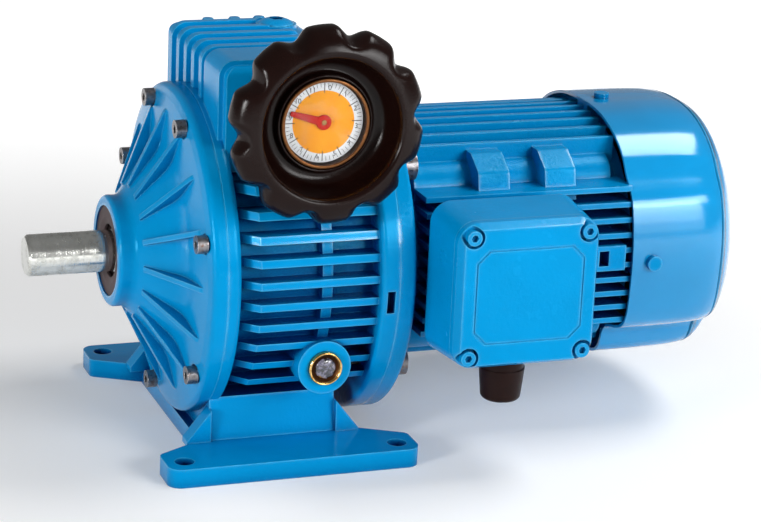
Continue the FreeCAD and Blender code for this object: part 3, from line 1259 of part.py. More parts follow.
save("casing", casing())
save("front_cover", front_cover())
save("cover_bolts", *cover_bolts())
save("output_seal", output_seal())
save(
    "bearing_outers",
    bearing_outer(BEARING_1_X, OUTPUT_BEARING), bearing_outer(BEARING_2_X, CARRIER_BEARING),
    bearing_outer(INPUT_BEARING_X, CARRIER_BEARING), bearing_outer(DRIVE_BEARING_X, DRIVE_BEARING),
    bearing_outer(FAN_BEARING_X, FAN_BEARING),
)
save("fixed_ring", fixed_ring())
save("thrust_washer", ring(WASHER_X, WALL_X, BORE_R - 1.0, RING_BORE_R + 2.0))
save("screw_bushes", *screw_bushes())
gauge_bezel, gauge_lens = sight_glass()
save("sight_bezel", gauge_bezel)
save("sight_lens", gauge_lens)
save("filler_plug", plug(at(FILLER_X, FILLER_Y, TURRET_TOP_Z + PLUG_BOSS), UP * -1))
save("drain_plug", plug(at(SIGHT_X, SIGHT_FACE_Y, SIGHT_Z), ACROSS * -1))

save("output_shaft", output_shaft())
save("planet_carrier", planet_carrier())
save(
    "output_inners",
    bearing_inner(BEARING_1_X, OUTPUT_BEARING), bearing_inner(BEARING_2_X, CARRIER_BEARING),
)
for number in range(PLANETS):
    turn = 90.0 + number * 360.0 / PLANETS
    save("planet_pin_" + str(number + 1), around(planet_pin(), turn))
    save("planet_" + str(number + 1), around(planet(), turn))

save("movable_ring", movable_ring())
save("control_ring", control_ring())
save("cam_balls", *cam_balls())
save("control_screw", control_screw())
save("control_nut", control_nut())
save("handwheel", handwheel())
save("indicator_case", indicator_case())
save("indicator_glass", indicator_glass())
save("indicator_dial", indicator_dial())
save("pointer_gear", pointer_gear())
save("indicator_pointer", indicator_pointer())

save("input_sleeve", input_sleeve())
save("sleeve_key", sleeve_key())
save("sliding_sun", sliding_sun())
save("disc_springs", *disc_springs())
save("spring_collar", ring(COLLAR_X, COLLAR_X + COLLAR_THICK, SPRING_R, SLEEVE_R))
save(
    "rotor_inners",
    bearing_inner(INPUT_BEARING_X, CARRIER_BEARING), bearing_inner(DRIVE_BEARING_X, DRIVE_BEARING),
    bearing_inner(FAN_BEARING_X, FAN_BEARING),
)
save("motor_flange", motor_flange())
save("flange_bolts", *flange_bolts())
save("motor_frame", motor_frame())
save("stator_core", ring(STATOR_X, STATOR_BACK, FRAME_BORE_R, STATOR_BORE_R))
save("stator_windings", *stator_windings())
save("motor_shaft", motor_shaft())
save("rotor_core", ring(STATOR_X, STATOR_BACK, STATOR_BORE_R - AIR_GAP, DRIVE_BEARING[0] / 2 + 3.0))
save("rear_shield", rear_shield())
save("cooling_fan", cooling_fan())
save("fan_cowl", fan_cowl())
save("cowl_screws", *cowl_screws())

save("terminal_box", terminal_box())
save("terminal_lid", terminal_lid())
save("lid_screws", *lid_screws())
save("terminal_block", terminal_block())
save("cable_gland", cable_gland())
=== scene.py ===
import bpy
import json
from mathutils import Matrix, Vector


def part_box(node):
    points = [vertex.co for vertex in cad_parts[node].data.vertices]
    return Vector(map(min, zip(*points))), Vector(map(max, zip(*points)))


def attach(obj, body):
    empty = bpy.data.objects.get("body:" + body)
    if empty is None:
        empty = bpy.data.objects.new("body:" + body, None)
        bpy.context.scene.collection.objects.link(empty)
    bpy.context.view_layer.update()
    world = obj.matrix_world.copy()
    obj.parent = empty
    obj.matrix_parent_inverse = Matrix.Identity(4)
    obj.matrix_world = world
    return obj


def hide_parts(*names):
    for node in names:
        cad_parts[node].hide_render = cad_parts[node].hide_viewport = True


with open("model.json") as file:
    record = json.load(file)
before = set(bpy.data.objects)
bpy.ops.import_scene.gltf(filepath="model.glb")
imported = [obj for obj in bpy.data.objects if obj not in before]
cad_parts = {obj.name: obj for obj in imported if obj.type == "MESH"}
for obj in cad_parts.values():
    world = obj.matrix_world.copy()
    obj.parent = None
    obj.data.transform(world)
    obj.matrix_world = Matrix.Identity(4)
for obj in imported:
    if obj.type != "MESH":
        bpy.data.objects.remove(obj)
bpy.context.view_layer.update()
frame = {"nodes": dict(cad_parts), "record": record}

import json
import math

import bmesh
import bpy
from mathutils import Matrix, Vector

scene = bpy.context.scene
scene.view_settings.view_transform = "Standard"
MM = 0.001
# Heights of the shafts' axis and of the handwheel's axis, in mm
SHAFT_Z = 106.0
WHEEL_Z = 203.0


# Shader sums and nodes

class Signal:
    """A socket that takes part in sums; each operator adds one Math node."""

    def __init__(self, bench, socket):
        self.bench = bench
        self.socket = socket

    def combine(self, operation, first, second):
        return self.bench.add("Math", {"operation": operation}, {0: first, 1: second})

    def __add__(self, other):
        return self.combine("ADD", self, other)

    __radd__ = __add__

    def __sub__(self, other):
        return self.combine("SUBTRACT", self, other)

    def __rsub__(self, other):
        return self.combine("SUBTRACT", other, self)

    def __mul__(self, other):
        return self.combine("MULTIPLY", self, other)

    __rmul__ = __mul__


class NodeBench:
    """Adds nodes to the tree of a material or of the studio walls."""

    def __init__(self, tree):
        self.tree = tree

    def add(self, kind, settings=None, sockets=None, out=0):
        """Add a node: its settings first, then the values or links of its sockets."""
        node = self.tree.nodes.new("ShaderNode" + kind)
        for key, value in (settings or {}).items():
            setattr(node, key, value)
        for key, value in (sockets or {}).items():
            self.join(node.inputs[key], value)
        return Signal(self, node.outputs[out])

    def join(self, socket, value):
        """Link a signal to a socket, or set a plain number or colour on it."""
        if isinstance(value, Signal):
            self.tree.links.new(value.socket, socket)
        elif socket.type == "RGBA" and len(value) == 3:
            socket.default_value = (*value, 1.0)
        else:
            socket.default_value = value


class Finish(NodeBench):
    """One material, built round a Principled shader."""

    # How far the rounded normals agree with the flat ones, on open faces and on edges
    FACE_LEVEL = 0.995
    EDGE_LEVEL = 0.86
    # How much of the surroundings is open, over faces and in narrow gaps
    OPEN_SHARE = 0.62
    NARROW_SHARE = 0.36

    def __init__(self, name, **constants):
        self.material = bpy.data.materials.new(name)
        self.material.use_nodes = True
        super().__init__(self.material.node_tree)
        self.shader = self.tree.nodes["Principled BSDF"]
        self.feed(**constants)

    def feed(self, **sockets):
        """Set or link sockets of the shader; an underscore stands for a space."""
        for key, value in sockets.items():
            self.join(self.shader.inputs[key.replace("_", " ")], value)

    def place(self, stretch=(1, 1, 1)):
        """Place on the piece in metres, stretched along each axis."""
        spot = self.add("TexCoord", out="Object")
        if stretch == (1, 1, 1):
            return spot
        return self.add("Mapping", sockets={"Vector": spot, "Scale": stretch})

    def from_axis(self, centre):
        """Distance in metres from a line along Y through a centre."""
        pair = {0: self.place(), 1: tuple(centre)}
        away = self.add("VectorMath", {"operation": "SUBTRACT"}, pair)
        flat = self.add("VectorMath", {"operation": "MULTIPLY"}, {0: away, 1: (1.0, 0.0, 1.0)})
        return self.add("VectorMath", {"operation": "LENGTH"}, {0: flat}, out="Value")

    def noise(self, per_metre, detail=3.0, roughness=0.55, stretch=(1, 1, 1)):
        """Cloudy pattern with about so many clouds to the metre."""
        sockets = {"Vector": self.place(stretch), "Scale": per_metre, "Detail": detail}
        sockets["Roughness"] = roughness
        return self.add("TexNoise", sockets=sockets)

    def between(self, signal, low, high, to_low=0.0, to_high=1.0):
        """Ease a signal from one range into another."""
        sockets = {"Value": signal, "From Min": low, "From Max": high}
        sockets.update({"To Min": to_low, "To Max": to_high})
        return self.add("MapRange", {"interpolation_type": "SMOOTHSTEP"}, sockets)

    def blend(self, share, first, second):
        """Mix two colours by a share."""
        sockets = {0: share, 6: first, 7: second}
        return self.add("Mix", {"data_type": "RGBA"}, sockets, out=2)

    def soft_edge(self, radius):
        """Normals that round every edge off by a radius."""
        return self.add("Bevel", {"samples": 4}, {"Radius": radius})

    def edge(self, radius):
        """1 along the outer and inner edges, 0 on the open faces."""
        pair = {0: self.soft_edge(radius), 1: self.add("NewGeometry", out="Normal")}
        level = self.add("VectorMath", {"operation": "DOT_PRODUCT"}, pair, out="Value")
        return self.between(level, self.FACE_LEVEL, self.EDGE_LEVEL)

    def crevice(self, distance):
        """1 in narrow places, 0 in the open."""
        sockets = {"Distance": distance}
        open_share = self.add("AmbientOcclusion", {"samples": 6}, sockets, out="AO")
        return self.between(open_share, self.OPEN_SHARE, self.NARROW_SHARE)

    def relief(self, height, depth, normal=None):
        """Bump from a height signal, over rounded edges when they are given."""
        sockets = {"Height": height, "Distance": depth, "Strength": 1.0}
        if normal is not None:
            sockets["Normal"] = normal
        return self.add("Bump", None, sockets)


# Places of the dial and the oil gauge

dial_low, dial_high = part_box("indicator_dial")
DIAL_R = (dial_high.x - dial_low.x) / 2
DIAL = Vector(((dial_low.x + dial_high.x) / 2, dial_low.y, WHEEL_Z * MM))
gauge_low, gauge_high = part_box("sight_bezel")
GAUGE = (gauge_low + gauge_high) / 2
GAUGE.y = gauge_low.y
# The brass lip runs down to its seat between these radii
LIP_R = 8.3 * MM
SEAT_R = 8.0 * MM
# The orange middle gives way to the white ring between these shares of the dial's radius
ORANGE_TO = 0.775
WHITE_FROM = 0.785


# Finishes

BLUE = (0.0, 0.268, 0.600)
# Painted shade: the deep blue laid into gaps and corners where shade falls
PAINTED_SHADE_BLUE = (0.0, 0.0268, 0.156)
# Painted highlight: the pale blue laid along edges
PAINTED_HIGHLIGHT_BLUE = (0.07, 0.5628, 0.93)
BLUE_GLOSS = (0.10, 0.70, 1.0)
# Widths and depths in metres
GAP_WIDTH = 0.020
HIGHLIGHT_EDGE_WIDTH = 0.0012
GLOSSY_EDGE = 0.003
EDGE_ROUNDING = 0.0011
SKIN_DEPTH = 0.0011
SHALLOW_STEP = 0.005
SHALLOW_SHARE = 0.1


def scaled(colour, factor):
    return [part * factor for part in colour]


def paint(name, grain, grain_size, gloss, level=0.28, coat=0.0, gap_shade=1.0, shallow_from=1.0):
    """Sprayed blue enamel over a casting or a sheet, with a painted highlight on the edges and
    painted shade in the gaps.

    Gaps higher up than shallow_from, in metres, are shallow and get only a small share of the
    painted shade. Where no coat is given, only the edges get one."""
    enamel = Finish(
        name, IOR=1.5, Specular_IOR_Level=level, Specular_Tint=BLUE_GLOSS, Coat_Roughness=0.13,
    )
    cloud = enamel.between(enamel.noise(14.0, 4.0), 0.3, 0.7)
    tone = enamel.blend(cloud, scaled(BLUE, 0.92), scaled(BLUE, 1.06))
    narrow = enamel.crevice(GAP_WIDTH)
    height = enamel.add("SeparateXYZ", sockets={0: enamel.place()}, out="Z")
    low, high = shallow_from - SHALLOW_STEP, shallow_from + SHALLOW_STEP
    share = enamel.between(height, low, high, gap_shade, gap_shade * SHALLOW_SHARE)
    # Painted shade: the paint turns deep blue in gaps and corners, with less of it higher up
    tone = enamel.blend(narrow * share, tone, PAINTED_SHADE_BLUE)
    # Painted highlight: pale blue along the edges, in patches, kept out of the gaps
    highlight_patches = enamel.between(enamel.noise(75.0, 3.0), 0.3, 0.7, 0.35, 0.85)
    tone = enamel.blend(enamel.edge(HIGHLIGHT_EDGE_WIDTH) * highlight_patches * (1 - narrow), tone, PAINTED_HIGHLIGHT_BLUE)
    peel = enamel.noise(620.0, 2.0)
    sand = enamel.noise(1.0 / grain_size, 4.0, 0.65)
    patches = enamel.between(enamel.noise(22.0, 2.0), 0.42, 0.66)
    skin = peel * 0.035 + sand * (patches * 0.6 + 0.4) * grain
    enamel.feed(
        Base_Color=tone,
        Coat_Weight=coat or enamel.edge(GLOSSY_EDGE) * (1 - narrow) * 0.9,
        Roughness=enamel.between(enamel.noise(60.0, 3.0), 0.3, 0.75, gloss, gloss + 0.10),
        Normal=enamel.relief(skin, SKIN_DEPTH, enamel.soft_edge(EDGE_ROUNDING)),
    )
    return enamel.material


def turned_steel(name, colour, stain, stretch, rough):
    """Machined steel with fine tool marks and a faint stain."""
    steel = Finish(name, Metallic=1.0)
    lines = steel.noise(900.0, 3.0, 0.6, stretch)
    bands = steel.noise(160.0, 2.0, 0.5, stretch)
    cloud = steel.between(steel.noise(130.0, 5.0, 0.7), 0.44, 0.66)
    tone = steel.blend(lines, scaled(colour, 0.86), colour)
    steel.feed(
        Base_Color=steel.blend(cloud * 0.36, tone, stain),
        Roughness=steel.between(bands * 0.6 + cloud * 0.4, 0.2, 0.8, rough, rough + 0.16),
        Normal=steel.relief(lines, 0.00006, steel.soft_edge(0.0005)),
    )
    return steel.material


def blackened_steel(name):
    """Blackened screw steel, rubbed bright on its edges and rusty in places."""
    steel = Finish(name, Metallic=0.9)
    cloud = steel.noise(420.0, 4.0)
    rust = steel.between(steel.noise(260.0, 5.0, 0.7), 0.52, 0.68) * 0.8
    worn = steel.edge(0.0008) * steel.between(cloud, 0.25, 0.6)
    tone = steel.blend(cloud, (0.085, 0.080, 0.084), (0.36, 0.35, 0.36))
    tone = steel.blend(rust, tone, (0.16, 0.065, 0.025))
    steel.feed(
        Base_Color=steel.blend(worn, tone, (0.72, 0.70, 0.68)),
        Roughness=steel.between(cloud, 0.2, 0.8, 0.22, 0.46),
        Normal=steel.relief(cloud, 0.00025, steel.soft_edge(0.0004)),
    )
    return steel.material


def phenolic(name):
    """Pressed dark brown phenolic with a polished skin and rubbed edges."""
    resin = Finish(name, IOR=1.5, Specular_IOR_Level=0.16)
    flow = resin.noise(38.0, 4.0, 0.6)
    fibre = resin.noise(1500.0, 2.0)
    rub = resin.edge(0.0016) * resin.between(resin.noise(170.0, 4.0), 0.45, 0.7)
    tone = resin.blend(flow, (0.0050, 0.0015, 0.0011), (0.0115, 0.0038, 0.0028))
    resin.feed(
        Base_Color=resin.blend(rub * 0.5, tone, (0.060, 0.034, 0.026)),
        Roughness=resin.between(flow * 0.5 + rub, 0.1, 0.9, 0.17, 0.30),
        Normal=resin.relief(fibre * 0.2 + flow, 0.0002, resin.soft_edge(0.0010)),
    )
    return resin.material


def soft_plastic(name, low, high, rough):
    """Moulded plastic or rubber with a fine matt skin."""
    skin = Finish(name, IOR=1.5, Specular_IOR_Level=0.12)
    cloud = skin.noise(120.0, 4.0)
    skin.feed(
        Base_Color=skin.blend(cloud, low, high),
        Roughness=skin.between(cloud, 0.25, 0.75, rough, rough + 0.18),
        Normal=skin.relief(skin.noise(1800.0, 2.0), 0.00008, skin.soft_edge(0.0008)),
    )
    return skin.material


def yellow_metal(name, colour, tarnish, rough):
    """Brass or bronze with fine turning marks and brown tarnish in its corners."""
    metal = Finish(name, Metallic=1.0)
    cloud = metal.noise(700.0, 3.0, 0.6)
    dull = metal.between(cloud, 0.35, 0.75) * 0.35 + metal.crevice(0.003) * 0.6
    metal.feed(
        Base_Color=metal.blend(dull, colour, tarnish),
        Roughness=metal.between(cloud, 0.3, 0.7, rough, rough + 0.12),
        Normal=metal.relief(cloud, 0.00004, metal.soft_edge(0.0008)),
    )
    return metal.material


def wound_copper(name):
    """Lacquered winding heads with the wires side by side."""
    coil = Finish(name, Metallic=0.85)
    wires = coil.noise(700.0, 2.0, 0.5, (1.0, 0.25, 0.25))
    coil.feed(
        Base_Color=coil.blend(wires, (0.22, 0.07, 0.02), (0.66, 0.27, 0.10)),
        Roughness=coil.between(wires, 0.3, 0.7, 0.3, 0.5),
        Normal=coil.relief(wires, 0.0006),
    )
    return coil.material


def stacked_sheets(name):
    """Edges of stacked steel sheets."""
    stack = Finish(name, Metallic=0.9)
    sheets = stack.noise(1600.0, 1.0, 0.5, (1.0, 0.01, 0.01))
    stack.feed(
        Base_Color=stack.blend(sheets, (0.10, 0.10, 0.11), (0.30, 0.30, 0.32)),
        Roughness=stack.between(sheets, 0.3, 0.7, 0.4, 0.6),
        Normal=stack.relief(sheets, 0.0003),
    )
    return stack.material


def clear_pane(name, share, rough):
    """Thin clear window: mostly see-through, with a plain gloss."""
    pane = Finish(name, Base_Color=(0.55, 0.57, 0.58), IOR=1.5, Specular_IOR_Level=0.9)
    smear = pane.between(pane.noise(70.0, 3.0), 0.45, 0.75)
    pane.feed(
        Alpha=pane.between(smear, 0.0, 1.0, share, share + 0.05),
        Roughness=pane.between(smear, 0.0, 1.0, rough, rough + 0.08),
    )
    return pane.material


def gauge_glass(name):
    """Oil gauge window, opaque and dark for the oil behind it, with paler clouds painted in as
    reflections.
    """
    glass = Finish(
        name, IOR=1.5, Specular_IOR_Level=0.8, Coat_Weight=1.0, Coat_Roughness=0.02,
    )
    cloud = glass.between(glass.noise(330.0, 3.0, 0.6), 0.40, 0.66)
    glass.feed(
        # Painted reflection: paler purple-grey clouds over the dark glass
        Base_Color=glass.blend(cloud, (0.006, 0.007, 0.014), (0.20, 0.19, 0.27)),
        Roughness=glass.between(cloud, 0.0, 1.0, 0.03, 0.16),
        Normal=glass.relief(cloud, 0.0002),
    )
    return glass.material


def gauge_brass(name):
    """Polished brass lip round an old brown seat."""
    brass = Finish(name, Metallic=0.95)
    seat = brass.between(brass.from_axis(GAUGE), LIP_R, SEAT_R)
    cloud = brass.noise(600.0, 3.0, 0.6)
    dull = brass.between(cloud, 0.3, 0.75)
    lip = brass.blend(dull, (0.95, 0.68, 0.26), (0.62, 0.28, 0.06))
    old = brass.blend(cloud, (0.020, 0.008, 0.004), (0.13, 0.045, 0.012))
    brass.feed(
        Base_Color=brass.blend(seat, lip, old),
        Roughness=brass.between(seat * 0.7 + cloud * 0.3, 0.1, 0.9, 0.14, 0.5),
        Normal=brass.relief(cloud, 0.00006),
    )
    return brass.material


def printed_dial(name):
    """White scale ring round an orange middle, with specks of dirt."""
    face = Finish(name, Specular_IOR_Level=0.15)
    ring = face.between(face.from_axis(DIAL), DIAL_R * ORANGE_TO, DIAL_R * WHITE_FROM)
    cloud = face.noise(90.0, 4.0)
    orange = face.blend(cloud, (0.84, 0.26, 0.004), (0.98, 0.43, 0.014))
    white = face.blend(cloud, (0.70, 0.74, 0.78), (0.86, 0.88, 0.90))
    dirty = face.between(face.noise(120.0, 2.0), 0.45, 0.6)
    specks = face.between(face.noise(900.0, 2.0), 0.66, 0.70) * dirty
    tone = face.blend(ring, orange, white)
    face.feed(
        Base_Color=face.blend(specks * 0.7, tone, (0.10, 0.05, 0.02)),
        Roughness=face.between(cloud, 0.3, 0.7, 0.42, 0.55),
        Normal=face.relief(specks, 0.00004),
    )
    return face.material


def ink(name):
    """Black printing ink, thin in places."""
    print_ink = Finish(name)
    cloud = print_ink.noise(1400.0, 3.0)
    print_ink.feed(
        Base_Color=print_ink.blend(cloud, (0.006, 0.006, 0.008), (0.035, 0.030, 0.032)),
        Roughness=print_ink.between(cloud, 0.3, 0.7, 0.35, 0.5),
    )
    return print_ink.material


# Pace of the tool marks along each axis: a small share draws them out that way
ROUND_X = (1, 0.2, 0.2)
SHAFT_MARKS = (1, 0.05, 0.05)
OUTPUT_MARKS = (1, 0.04, 0.04)
RING_MARKS = (0.2, 1, 1)
EVEN = (1, 1, 1)

finishes = {
    "blue_iron": paint("blue_iron", 0.16, 0.0032, 0.15, shallow_from=0.172),
    "blue_alloy": paint("blue_alloy", 0.42, 0.0024, 0.18, shallow_from=0.150),
    "blue_sheet": paint("blue_sheet", 0.02, 0.0060, 0.14, level=0.35, coat=0.90),
    "blue_plug": paint("blue_plug", 0.10, 0.0030, 0.22),
    "blue_screw": paint("blue_screw", 0.08, 0.0025, 0.20),
    "blue_lid": paint("blue_lid", 0.36, 0.0024, 0.18, gap_shade=0.4),
    "dark_steel": blackened_steel("dark_steel"),
    "bearing_steel": turned_steel(
        "bearing_steel", (0.60, 0.61, 0.63), (0.42, 0.40, 0.38), RING_MARKS, 0.16),
    "hard_steel": turned_steel(
        "hard_steel", (0.48, 0.49, 0.51), (0.34, 0.33, 0.33), ROUND_X, 0.18),
    "bright_steel": turned_steel(
        "bright_steel", (0.55, 0.55, 0.57), (0.40, 0.38, 0.36), SHAFT_MARKS, 0.22),
    "shaft_steel": turned_steel(
        "shaft_steel", (0.86, 0.87, 0.83), (0.24, 0.24, 0.19), OUTPUT_MARKS, 0.16),
    "ball_steel": turned_steel(
        "ball_steel", (0.70, 0.70, 0.72), (0.60, 0.60, 0.62), EVEN, 0.06),
    "spring_steel": turned_steel(
        "spring_steel", (0.16, 0.17, 0.20), (0.10, 0.09, 0.10), ROUND_X, 0.28),
    "bronze": yellow_metal("bronze", (0.44, 0.24, 0.085), (0.22, 0.12, 0.05), 0.28),
    "bezel_bronze": yellow_metal(
        "bezel_bronze", (0.17, 0.072, 0.027), (0.06, 0.022, 0.011), 0.30),
    "sight_brass": gauge_brass("sight_brass"),
    "sight_glass": gauge_glass("sight_glass"),
    "lamination": stacked_sheets("lamination"),
    "copper_wire": wound_copper("copper_wire"),
    "seal_rubber": soft_plastic(
        "seal_rubber", (0.014, 0.008, 0.008), (0.115, 0.080, 0.084), 0.40),
    "block_plastic": soft_plastic(
        "block_plastic", (0.012, 0.012, 0.012), (0.024, 0.024, 0.024), 0.35),
    "gland_plastic": soft_plastic(
        "gland_plastic", (0.0065, 0.0018, 0.0014), (0.0170, 0.0052, 0.0038), 0.30),
    "fan_plastic": soft_plastic(
        "fan_plastic", (0.014, 0.014, 0.016), (0.028, 0.028, 0.030), 0.40),
    "pointer_red": soft_plastic(
        "pointer_red", (0.44, 0.007, 0.003), (0.60, 0.015, 0.005), 0.24),
    "phenolic": phenolic("phenolic"),
    "dial_glass": clear_pane("dial_glass", 0.015, 0.03),
    "dial_face": printed_dial("dial_face"),
}
# The lid's screw pockets are open and well lit, so they get less of the painted shade
LID_NODES = ("terminal_lid", "lid_screws")
for row in frame["record"]["subparts"]:
    finish = "blue_lid" if row["node"] in LID_NODES else row["material_slot"]
    for holder in frame["nodes"][row["node"]].material_slots:
        holder.material = finishes[finish]


# Pieces that the solids leave plain

def new_piece(name, mesh, body, material):
    """Add a mesh as a piece that rides on a body."""
    piece = bpy.data.objects.new(name, mesh)
    scene.collection.objects.link(piece)
    mesh.materials.append(material)
    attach(piece, body)
    return piece


def finished_mesh(name, form):
    """Turn a form into a mesh and let go of the form."""
    mesh = bpy.data.meshes.new(name)
    form.to_mesh(mesh)
    form.free()
    return mesh


def spun(name, rows, centre, steps=64, notch=None):
    """Mesh turned about a line through centre along Y, from (radius, way to -Y) rows in mm.

    A notch gives how much of a radius is cut away at an angle."""
    form = bmesh.new()
    rings = []
    for radius, out in rows:
        if radius == 0:
            rings.append([form.verts.new(centre + Vector((0, -out * MM, 0)))])
            continue
        ring = []
        for k in range(steps):
            turn = 2 * math.pi * k / steps
            reach = (radius - notch(radius, turn) if notch else radius) * MM
            spot = Vector((reach * math.sin(turn), -out * MM, reach * math.cos(turn)))
            ring.append(form.verts.new(centre + spot))
        rings.append(ring)
    for low, high in zip(rings, rings[1:]):
        for k in range(steps):
            corners = [low[k % len(low)], low[(k + 1) % len(low)]]
            corners += [high[(k + 1) % len(high)], high[k % len(high)]]
            corners = list(dict.fromkeys(corners))
            if len(corners) > 2:
                form.faces.new(corners)
    bmesh.ops.remove_doubles(form, verts=form.verts, dist=1e-7)
    bmesh.ops.recalc_face_normals(form, faces=form.faces)
    for face in form.faces:
        face.smooth = True
    return finished_mesh(name, form)


SCALE_LINES = 60
LONG_LINE_EVERY = 5
SCALE_NUMBERS = 12
# Where each kind of line starts, as a share of the dial's radius, and its width in metres
LONG_LINE = (0.72, 0.00044)
SHORT_LINE = (0.86, 0.00022)
LINE_END = 0.965
INK_LIFT = 0.00008
NUMBER_RING = 0.85
NUMBER_SIZE = 0.0040
# Degrees from a long line to the number beside it
NUMBER_ASIDE = 9


def dial_marks():
    """Scale lines and plain numbers, raised a hair above the dial."""
    form = bmesh.new()
    for k in range(SCALE_LINES):
        start, width = SHORT_LINE if k % LONG_LINE_EVERY else LONG_LINE
        inner = DIAL_R * start
        length = DIAL_R * LINE_END - inner
        line = bmesh.ops.create_cube(form, size=1.0)["verts"]
        shape = Matrix.Diagonal((width, INK_LIFT, length, 1))
        shift = Matrix.Translation((0, -INK_LIFT / 2, inner + length / 2))
        turn = Matrix.Rotation(math.radians(360 / SCALE_LINES * k), 4, "Y")
        place = Matrix.Translation(DIAL) @ turn @ shift @ shape
        bmesh.ops.transform(form, matrix=place, verts=line)
    for number in range(SCALE_NUMBERS):
        letters = bpy.data.curves.new("dial_number", "FONT")
        letters.body = str(number)
        letters.size = NUMBER_SIZE
        letters.extrude = INK_LIFT / 2
        letters.align_x = "CENTER"
        letters.align_y = "CENTER"
        holder = bpy.data.objects.new("dial_number", letters)
        scene.collection.objects.link(holder)
        bpy.context.view_layer.update()
        view = bpy.context.evaluated_depsgraph_get()
        flat = bpy.data.meshes.new_from_object(holder.evaluated_get(view))
        bpy.data.objects.remove(holder)
        angle = math.radians(360 / SCALE_NUMBERS * number + NUMBER_ASIDE)
        ring = NUMBER_RING * DIAL_R
        spot = Vector((ring * math.sin(angle), -INK_LIFT / 2, ring * math.cos(angle)))
        upright = Matrix.Rotation(math.pi / 2, 4, "X")
        flat.transform(Matrix.Translation(DIAL + spot) @ upright)
        form.from_mesh(flat)
        bpy.data.meshes.remove(flat)
    return finished_mesh("dial_marks", form)


new_piece("dial_marks", dial_marks(), "dial", ink("dial_ink"))

# Oil gauge: rows of (radius, way out from the bezel's face) in mm
GAUGE_LIP = (
    (4.5, -13.0), (9.0, -13.0), (9.0, -3.0), (9.75, -3.0), (9.75, -0.9), (9.45, -0.25),
    (9.0, 0.0), (8.55, -0.25), (8.25, -0.8), (8.1, -1.3), (6.05, -1.6), (6.05, -5.0),
    (4.5, -5.0), (4.5, -13.0),
)
GAUGE_DOME = (
    (6.0, -4.9), (6.0, -1.5), (5.6, -1.0), (4.6, -0.5), (3.2, -0.2), (1.6, -0.06), (0.0, 0.0),
)
gauge_lip = new_piece(
    "gauge_lip", spun("gauge_lip", GAUGE_LIP, GAUGE), "housing",
    finishes["sight_brass"],
)
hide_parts("sight_bezel")
gauge_dome = new_piece(
    "gauge_dome", spun("gauge_dome", GAUGE_DOME, GAUGE), "housing",
    finishes["sight_glass"],
)
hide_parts("sight_lens")

# Handwheel with a crowned rim and soft finger notches: rows of (radius, way out from the
# turret's face) in mm
WHEEL_ROWS = (
    (7.0, 6.0), (15.4, 6.0), (16.6, 6.5), (17.0, 7.8), (17.2, 12.0), (17.8, 16.6),
    (19.4, 20.2), (22.4, 23.6), (27.0, 27.6), (31.0, 31.0), (34.0, 33.4), (37.4, 34.7),
    (42.0, 35.0), (46.0, 35.0), (49.6, 35.5), (52.3, 37.0), (54.1, 39.4), (54.9, 42.0),
    (55.0, 45.0), (54.4, 48.2), (53.0, 51.0), (51.0, 53.2), (48.4, 54.9), (45.6, 56.0),
    (43.0, 56.75), (41.3, 57.0), (40.0, 56.5), (39.1, 55.2), (38.5, 52.4), (37.7, 48.0),
    (36.7, 43.8), (35.5, 40.8), (33.6, 38.8), (31.2, 37.8), (29.0, 37.5), (27.9, 38.0),
    (27.4, 39.6), (27.1, 41.6), (26.8, 42.6), (26.3, 43.0), (25.7, 42.8), (25.5, 42.0),
    (25.5, 31.0), (3.0, 31.0), (3.0, 25.0), (7.0, 25.0), (7.0, 6.0),
)
WHEEL_STEPS = 300
TURRET_FACE = 60.0
WHEEL_NOTCHES = 10
NOTCH_PHASE = math.radians(5.0)
NOTCH_HALF = math.radians(11.5)
NOTCH_DEPTH = 5.5
NOTCH_FROM = 44.5
NOTCH_FULL = 53.0


def finger_notch(radius, turn):
    """Depth of the finger notches in mm, from nothing on the face to full at the rim."""
    pitch = 2 * math.pi / WHEEL_NOTCHES
    off = (math.pi / 2 - turn - NOTCH_PHASE + pitch / 2) % pitch - pitch / 2
    share = min(1.0, max(0.0, (radius - NOTCH_FROM) / (NOTCH_FULL - NOTCH_FROM)))
    if abs(off) > NOTCH_HALF or not share:
        return 0.0
    across = math.cos(math.pi * off / (2 * NOTCH_HALF)) ** 2
    return NOTCH_DEPTH * share * share * (3 - 2 * share) * across


wheel_centre = Vector((DIAL.x, -TURRET_FACE * MM, DIAL.z))
grip_wheel = new_piece(
    "grip_wheel", spun("grip_wheel", WHEEL_ROWS, wheel_centre, WHEEL_STEPS, finger_notch),
    "handwheel", finishes["phenolic"],
)
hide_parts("handwheel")

# Fan cowl as one drawn sheet, in mm: near half of its section from the shaft axis, top to bottom
COWL_EDGE = (
    (0.0, 77.0), (-14.0, 76.8), (-30.0, 74.8), (-46.0, 69.6), (-57.0, 63.5), (-63.4, 58.1),
    (-66.4, 54.3), (-68.8, 50.5), (-71.6, 46.9), (-74.8, 43.5), (-77.6, 40.4), (-79.6, 37.5),
    (-81.3, 33.7), (-82.8, 28.8), (-84.4, 22.1), (-85.8, 13.3), (-86.5, 2.0), (-86.3, -10.0),
    (-85.6, -20.0), (-84.6, -29.0), (-82.4, -36.0), (-79.8, -39.8), (-75.0, -43.0),
    (-68.0, -45.4), (-60.0, -47.2), (-54.5, -49.6), (-51.6, -53.2), (-50.0, -58.4),
    (-47.6, -64.0), (-42.4, -68.4), (-33.0, -71.0), (-18.0, -72.0), (0.0, -72.0),
)
COWL_STEPS = 6
COWL_LENGTHS = (
    0.0, 0.8, 3.0, 8.0, 14.0, 20.0, 27.0, 34.0, 40.0, 45.0, 50.0, 54.0, 58.0, 61.0,
)
COWL_RINGS = (88.0, 84.0, 80.0, 76.0, 72.0, 68.0, 64.0, 60.0, 56.5)
GRILLE_RINGS = (53.5, 48.0, 44.5, 39.0, 35.5, 30.0, 26.5, 21.0, 17.5, 12.0)
GRILLE_SPOKES = 8
SPOKE_HALF = 2.6
COWL_SETBACK = 3.0
